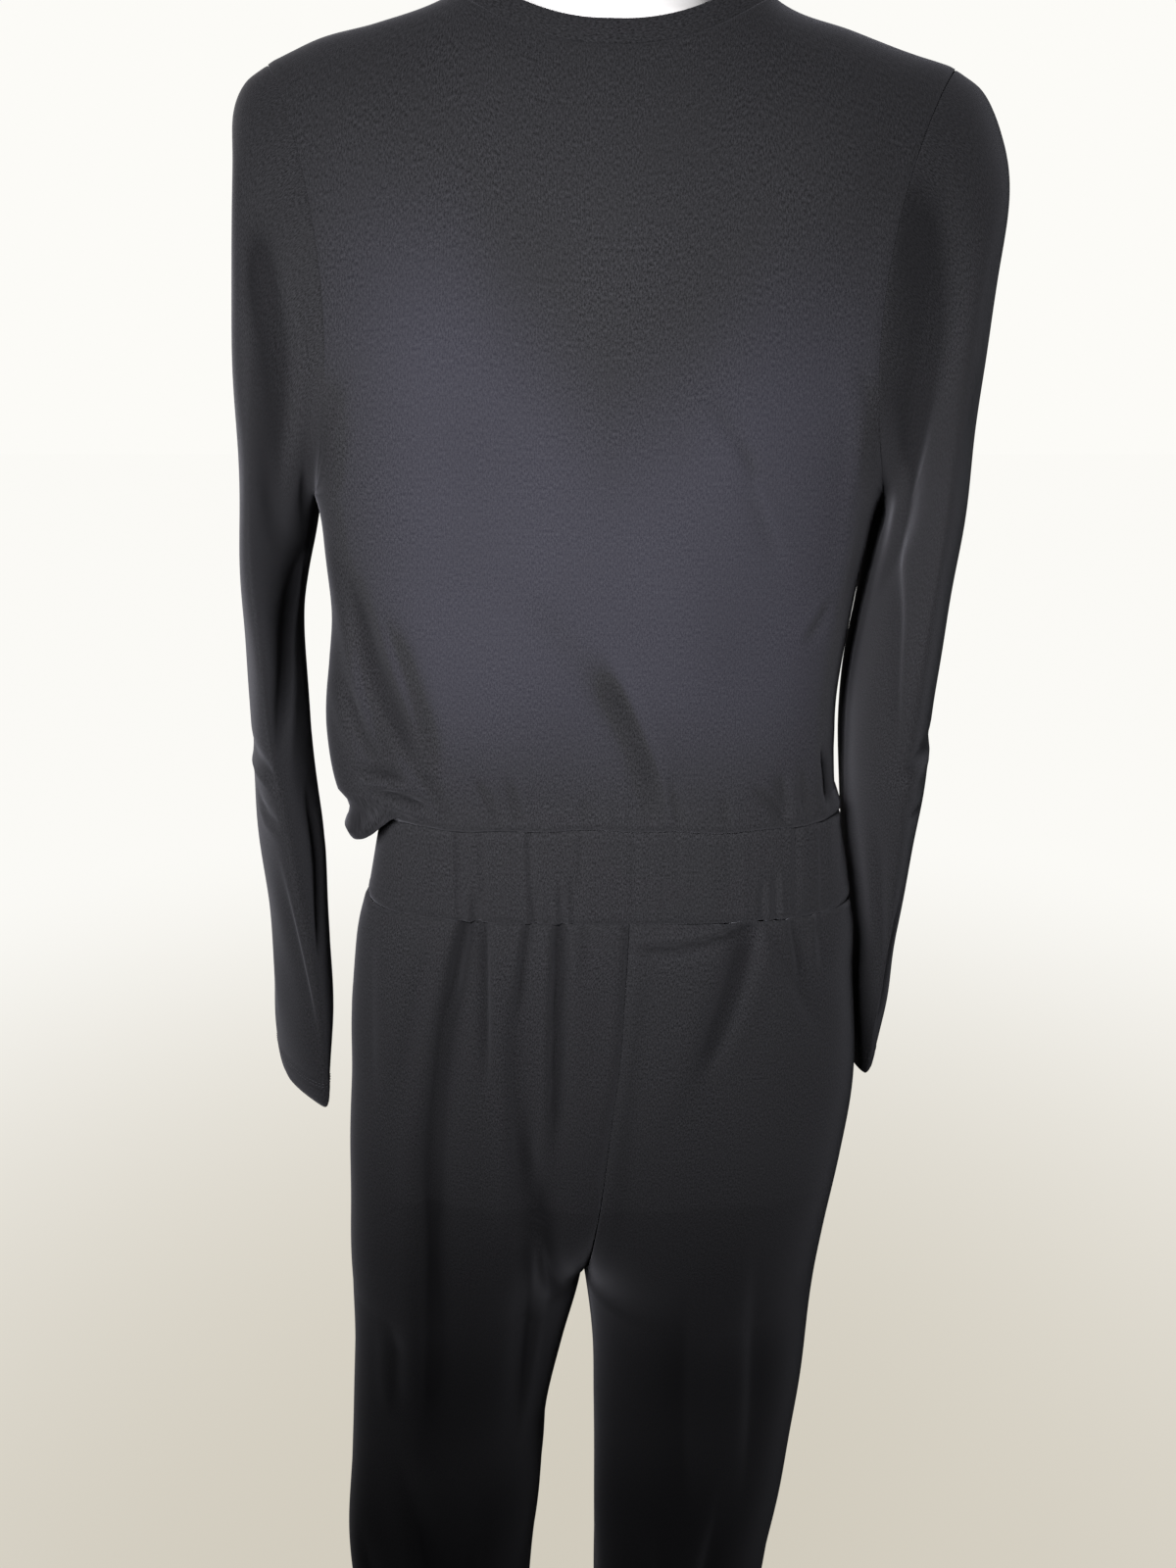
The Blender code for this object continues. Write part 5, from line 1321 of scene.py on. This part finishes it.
def leg_points(leg, sign, face):
    """One trouser panel: rows from the hem up, columns from the side seam to the inner edge.

    Each row is part of one superellipse, |x/a|^n + |y/b|^n = 1, from the side seam round to
    the inner edge. Under the crotch that is half of it. Further up its middle moves to the
    centre seam, so that the two legs run into each other, until a quarter of it is left.
    """
    steps = np.linspace(0, 1, LEG_ACROSS[face] + 1)
    low = np.linspace(HEM_HEIGHT, CROTCH_HEIGHT, LEG_ROWS, endpoint=False)
    seat = np.linspace(CROTCH_HEIGHT, SEAT_TOP, SEAT_ROWS, endpoint=False)
    height = np.concatenate([low, seat, np.linspace(SEAT_TOP, LEG_TOP, HIP_ROWS)])[:, None]
    under = height < CROTCH_HEIGHT
    outer, inner, reach, middle = (
        read(LEG, name, np.minimum(height, CROTCH_HEIGHT))
        for name in (leg + "_outer", leg + "_inner", face, "side"))
    hip_outer, hip_reach, hip_middle, hip_seam = (
        read(HIP, name, height) for name in (leg, face, "side", "seam"))
    outer = np.where(under, outer, hip_outer)
    inner = np.where(under, inner, sign * hip_seam + SEAM_GAP / 2)
    reach = np.where(under, reach, hip_reach)
    middle = np.where(under, middle, hip_middle)
    past = ease(height, SEAT_TOP, CROTCH_HEIGHT)
    power = SQUARENESS[face] + (LEG_SQUARENESS - SQUARENESS[face]) * past
    half = (outer - inner) / (1 + past)
    angle = steps * (math.pi - np.arccos(past ** (power / 2)))
    x = outer - half + half * signed_power(np.cos(angle), 2 / power)
    y = middle + (reach - middle) * np.abs(np.sin(angle)) ** (2 / power)
    return np.stack([sign * x, y, np.broadcast_to(height, x.shape)], axis=-1)


LEG_SHADE = 0.16                # the cloth is this much darker where no form lies behind it:
FORM_BOTTOM = (0.792, 0.786)    # below the form's lower end
FORM_SIDES = (0.160, 0.130)     # and between where its sides were
LOW_SHADE, LOW_FADE = 0.62, (0.88, 0.62)   # the light fades down the legs, between heights
HEM_COLUMN = 40                 # the column along which the hem's depth is measured
for leg, sign in (("left", 1), ("right", -1)):
    for face, turned_out, seed in (("back", 1, 5.1), ("front", -1, 8.3)):
        points, outward = leg_points(leg, sign, face), sign * turned_out
        side, height = points[..., 0], points[..., 2]
        from_hem, from_waist = walk(points, 0), walk(points, 0, "last")
        edges = [walk(points, 1), walk(points, 1, "last")]
        free = ease(np.minimum(*edges), *LEG_CALM)
        rise = crease_rise(side, height, LEG_CREASES[face]) * free * ease(from_hem, *LEG_HEM_CALM)
        gather = LEG_GATHER * ripple(side, GATHER_SPACING, seed) * free
        rise = rise + gather * np.exp(-(from_waist / LEG_GATHER_REACH) ** GATHER_FALL)
        rise = rise + LEG_SLACK * slack_rise(side, LEG_SLACK_LONG * height, seed) * free
        rise = rise + sum(seam_rise(edge) for edge in edges)
        rise = rise + seam_rise(from_waist) + hem_rise(from_hem)
        tone_map = -LEG_SHADE * ease(height, *FORM_BOTTOM) * ease(np.abs(side), *FORM_SIDES)
        tone_map = tone_map - LOW_SHADE * ease(height, *LOW_FADE)
        tone_map = tone_map - fold_shade(side, height, LEG_CREASES[face]) * free
        shell = raise_cloth(points, rise, outward)
        name = f"trouser_{face}_{leg}"
        piece = add_cloth(name, shell, outward, jersey, tone=tone_map)
        rows = hem_stitches(f"{name}_hem", shell, grid_normals(shell) * outward,
                            from_hem[:, HEM_COLUMN])
        finish_cloth(f"leg_{face}_{leg}")

# ================================================================ dress form
# A limbless form of white moulded plastic, smooth from its short neck to its cut-off
# thighs. Its surface is satin, with the faint waviness of a thin moulding.

# Rings from the lower end up: width is half the width, and back and front are depths (y).
FORM = table("""
    ring height width back front squareness
     0  .789 .138  .07   -.07 2.6
     1  .796 .142 .074 -.0745 2.6
     2   .87  .15 .082  -.082 2.5
     3   .94  .15 .084  -.085 2.5
     4     1 .144  .08  -.082 2.5
     5  1.06  .13 .075  -.076 2.5
     6  1.13 .115 .073  -.078 2.4
     7  1.19 .119 .077  -.086 2.4
     8  1.25 .131 .081  -.096 2.3
     9  1.31 .142 .083   -.09 2.3
    10  1.37 .162 .082  -.078 2.3
    11  1.42  .17 .076  -.059 2.2
    12  1.45 .166 .068  -.044 2.1
    13 1.468 .152 .061  -.033   2
    14 1.482 .122 .056  -.027   2
    15 1.492 .086 .056   -.03   2
    16 1.501 .064 .057  -.036   2
    17 1.514 .055 .056   -.04   2
    18  1.56 .053 .053  -.044   2
    19 1.568  .05  .05  -.041   2
""")
FORM_AROUND, FORM_RINGS, CAP_RINGS = 120, 150, 10
CAP_EDGE = 0.004             # how high the neck's end swells; the lower end is flat
SHARP = math.radians(50)     # edges that turn by more than this are shaded as sharp

tree, shader, form_skin = new_material("white satin moulded plastic")
place = add_node(tree, "ShaderNodeTexCoord").outputs["Object"]
cloud = add_node(tree, "ShaderNodeTexNoise", {"Vector": place, "Scale": 14.0, "Detail": 3.0})
ripples = add_node(tree, "ShaderNodeTexNoise", {"Vector": place, "Scale": 60.0, "Detail": 2.0})
tree.links.new(blend_colours(tree, cloud.outputs["Fac"], "#e9e7e2", "#f6f5f2"),
               shader.inputs["Base Color"])
wear = add_node(tree, "ShaderNodeMapRange", {"Value": cloud.outputs["Fac"], "To Min": 0.38,
                                             "To Max": 0.55}).outputs["Result"]
tree.links.new(wear, shader.inputs["Roughness"])
bump = add_node(tree, "ShaderNodeBump", {"Height": ripples.outputs["Fac"], "Strength": 0.15,
                                         "Distance": 0.001}).outputs["Normal"]
tree.links.new(bump, shader.inputs["Normal"])


def closed_shape(name, rings, material):
    """A closed smooth object from rings of points: each ring is joined to the next, and the
    first and last are small enough to close with one flat face."""
    count, around = rings.shape[:2]
    index = np.arange(count * around).reshape(count, around)
    right = np.roll(index, -1, axis=1)
    cells = np.stack([index[:-1], right[:-1], right[1:], index[1:]], axis=-1).reshape(-1, 4)
    faces = cells.tolist() + [index[0, ::-1].tolist(), index[-1].tolist()]
    mesh = bpy.data.meshes.new(name)
    mesh.from_pydata(rings.reshape(-1, 3).tolist(), [], faces)
    piece = new_piece(name, mesh, material)
    mesh.set_sharp_from_angle(angle=SHARP)
    return piece


ring = np.linspace(0, FORM["ring"][-1], FORM_RINGS)
at = {name: read(FORM, name, ring) for name in FORM}
close = np.cos(np.linspace(0, math.pi / 2, CAP_RINGS + 1))[1:-1]
shrink = np.concatenate([close[::-1], np.ones(FORM_RINGS), close])
lift = np.pad(np.sqrt(1 - close ** 2) * CAP_EDGE, (len(close) + FORM_RINGS, 0))
turn = 2 * math.pi * np.arange(FORM_AROUND) / FORM_AROUND
full = {name: np.pad(value, len(close), mode="edge")[:, None] for name, value in at.items()}
power = 2 / full["squareness"]
middle = (full["back"] + full["front"]) / 2
x = full["width"] * signed_power(np.cos(turn), power)
y = (full["back"] - full["front"]) / 2 * signed_power(np.sin(turn), power)
z = np.broadcast_to(full["height"] + lift[:, None], x.shape)
rings = np.stack([x * shrink[:, None], middle + y * shrink[:, None], z], axis=-1)
piece = closed_shape("dress_form", rings, form_skin)
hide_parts("form_torso")

# ================================================================ stand
# A steel pole stands in a steel socket on a round base plate of white powder-coated steel.
POLE_RADIUS, POLE_EDGE = 0.0070, 0.0006
BASE_RADIUS, BASE_THICKNESS, BASE_EDGE = 0.1700, 0.0080, 0.0020
SOCKET_RADIUS, SOCKET_HEIGHT, SOCKET_EDGE = 0.0190, 0.0300, 0.0020
REST_GAP = 0.0003            # between two parts that stand on each other
TURNED_SIDES, EDGE_STEPS = 128, 6

tree, shader, steel = new_material("brushed steel")
place = add_node(tree, "ShaderNodeTexCoord").outputs["Object"]
drawn = add_node(tree, "ShaderNodeMapping", {"Vector": place, "Scale": (1400.0, 1400.0, 30.0)})
streaks = add_node(tree, "ShaderNodeTexNoise", {"Vector": drawn.outputs["Vector"],
                                                "Scale": 1.0, "Detail": 3.0}).outputs["Fac"]
tree.links.new(blend_colours(tree, streaks, "#a9a9ab", "#c9c9ca"), shader.inputs["Base Color"])
dull = add_node(tree, "ShaderNodeMapRange", {"Value": streaks, "To Min": 0.25, "To Max": 0.42})
tree.links.new(dull.outputs["Result"], shader.inputs["Roughness"])
shader.inputs["Metallic"].default_value = 1.0

tree, shader, coating = new_material("white powder-coated steel")
place = add_node(tree, "ShaderNodeTexCoord").outputs["Object"]
peel = add_node(tree, "ShaderNodeTexNoise", {"Vector": place, "Scale": 650.0, "Detail": 1.0})
dust = add_node(tree, "ShaderNodeTexNoise", {"Vector": place, "Scale": 18.0, "Detail": 4.0})
tree.links.new(blend_colours(tree, dust.outputs["Fac"], "#dedcd7", "#eceae6"),
               shader.inputs["Base Color"])
bump = add_node(tree, "ShaderNodeBump", {"Height": peel.outputs["Fac"], "Strength": 0.25,
                                         "Distance": 0.0003}).outputs["Normal"]
tree.links.new(bump, shader.inputs["Normal"])
shader.inputs["Roughness"].default_value = 0.42


def turned(radius, bottom, top, edge):
    """Rings of a turned bar or plate: its section has two corners rounded to a quarter."""
    bend = np.linspace(0, math.pi / 2, EDGE_STEPS)
    low = [(radius - edge + edge * math.sin(a), bottom + edge - edge * math.cos(a)) for a in bend]
    high = [(radius - edge + edge * math.cos(a), top - edge + edge * math.sin(a)) for a in bend]
    shape = np.array([(radius / 4, bottom), *low, *high, (radius / 4, top)])
    spin = 2 * math.pi * np.arange(TURNED_SIDES) / TURNED_SIDES
    across = shape[:, :1]
    return np.stack([across * np.cos(spin), across * np.sin(spin),
                     np.broadcast_to(shape[:, 1:], (len(shape), TURNED_SIDES))], axis=-1)


socket_bottom = BASE_THICKNESS + REST_GAP
pole_bottom = socket_bottom + SOCKET_HEIGHT + REST_GAP
pole_top = FORM["height"][0] - REST_GAP
for name, node, parts, finish, slot in (
        ("base_plate", "stand_base", (BASE_RADIUS, 0.0, BASE_THICKNESS, BASE_EDGE),
         coating, "enamel"),
        ("pole_socket", "stand_socket",
         (SOCKET_RADIUS, socket_bottom, socket_bottom + SOCKET_HEIGHT, SOCKET_EDGE),
         steel, "steel"),
        ("pole", "stand_pole", (POLE_RADIUS, pole_bottom, pole_top, POLE_EDGE), steel, "steel")):
    piece = closed_shape(name, turned(*parts), finish)
    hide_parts(node)
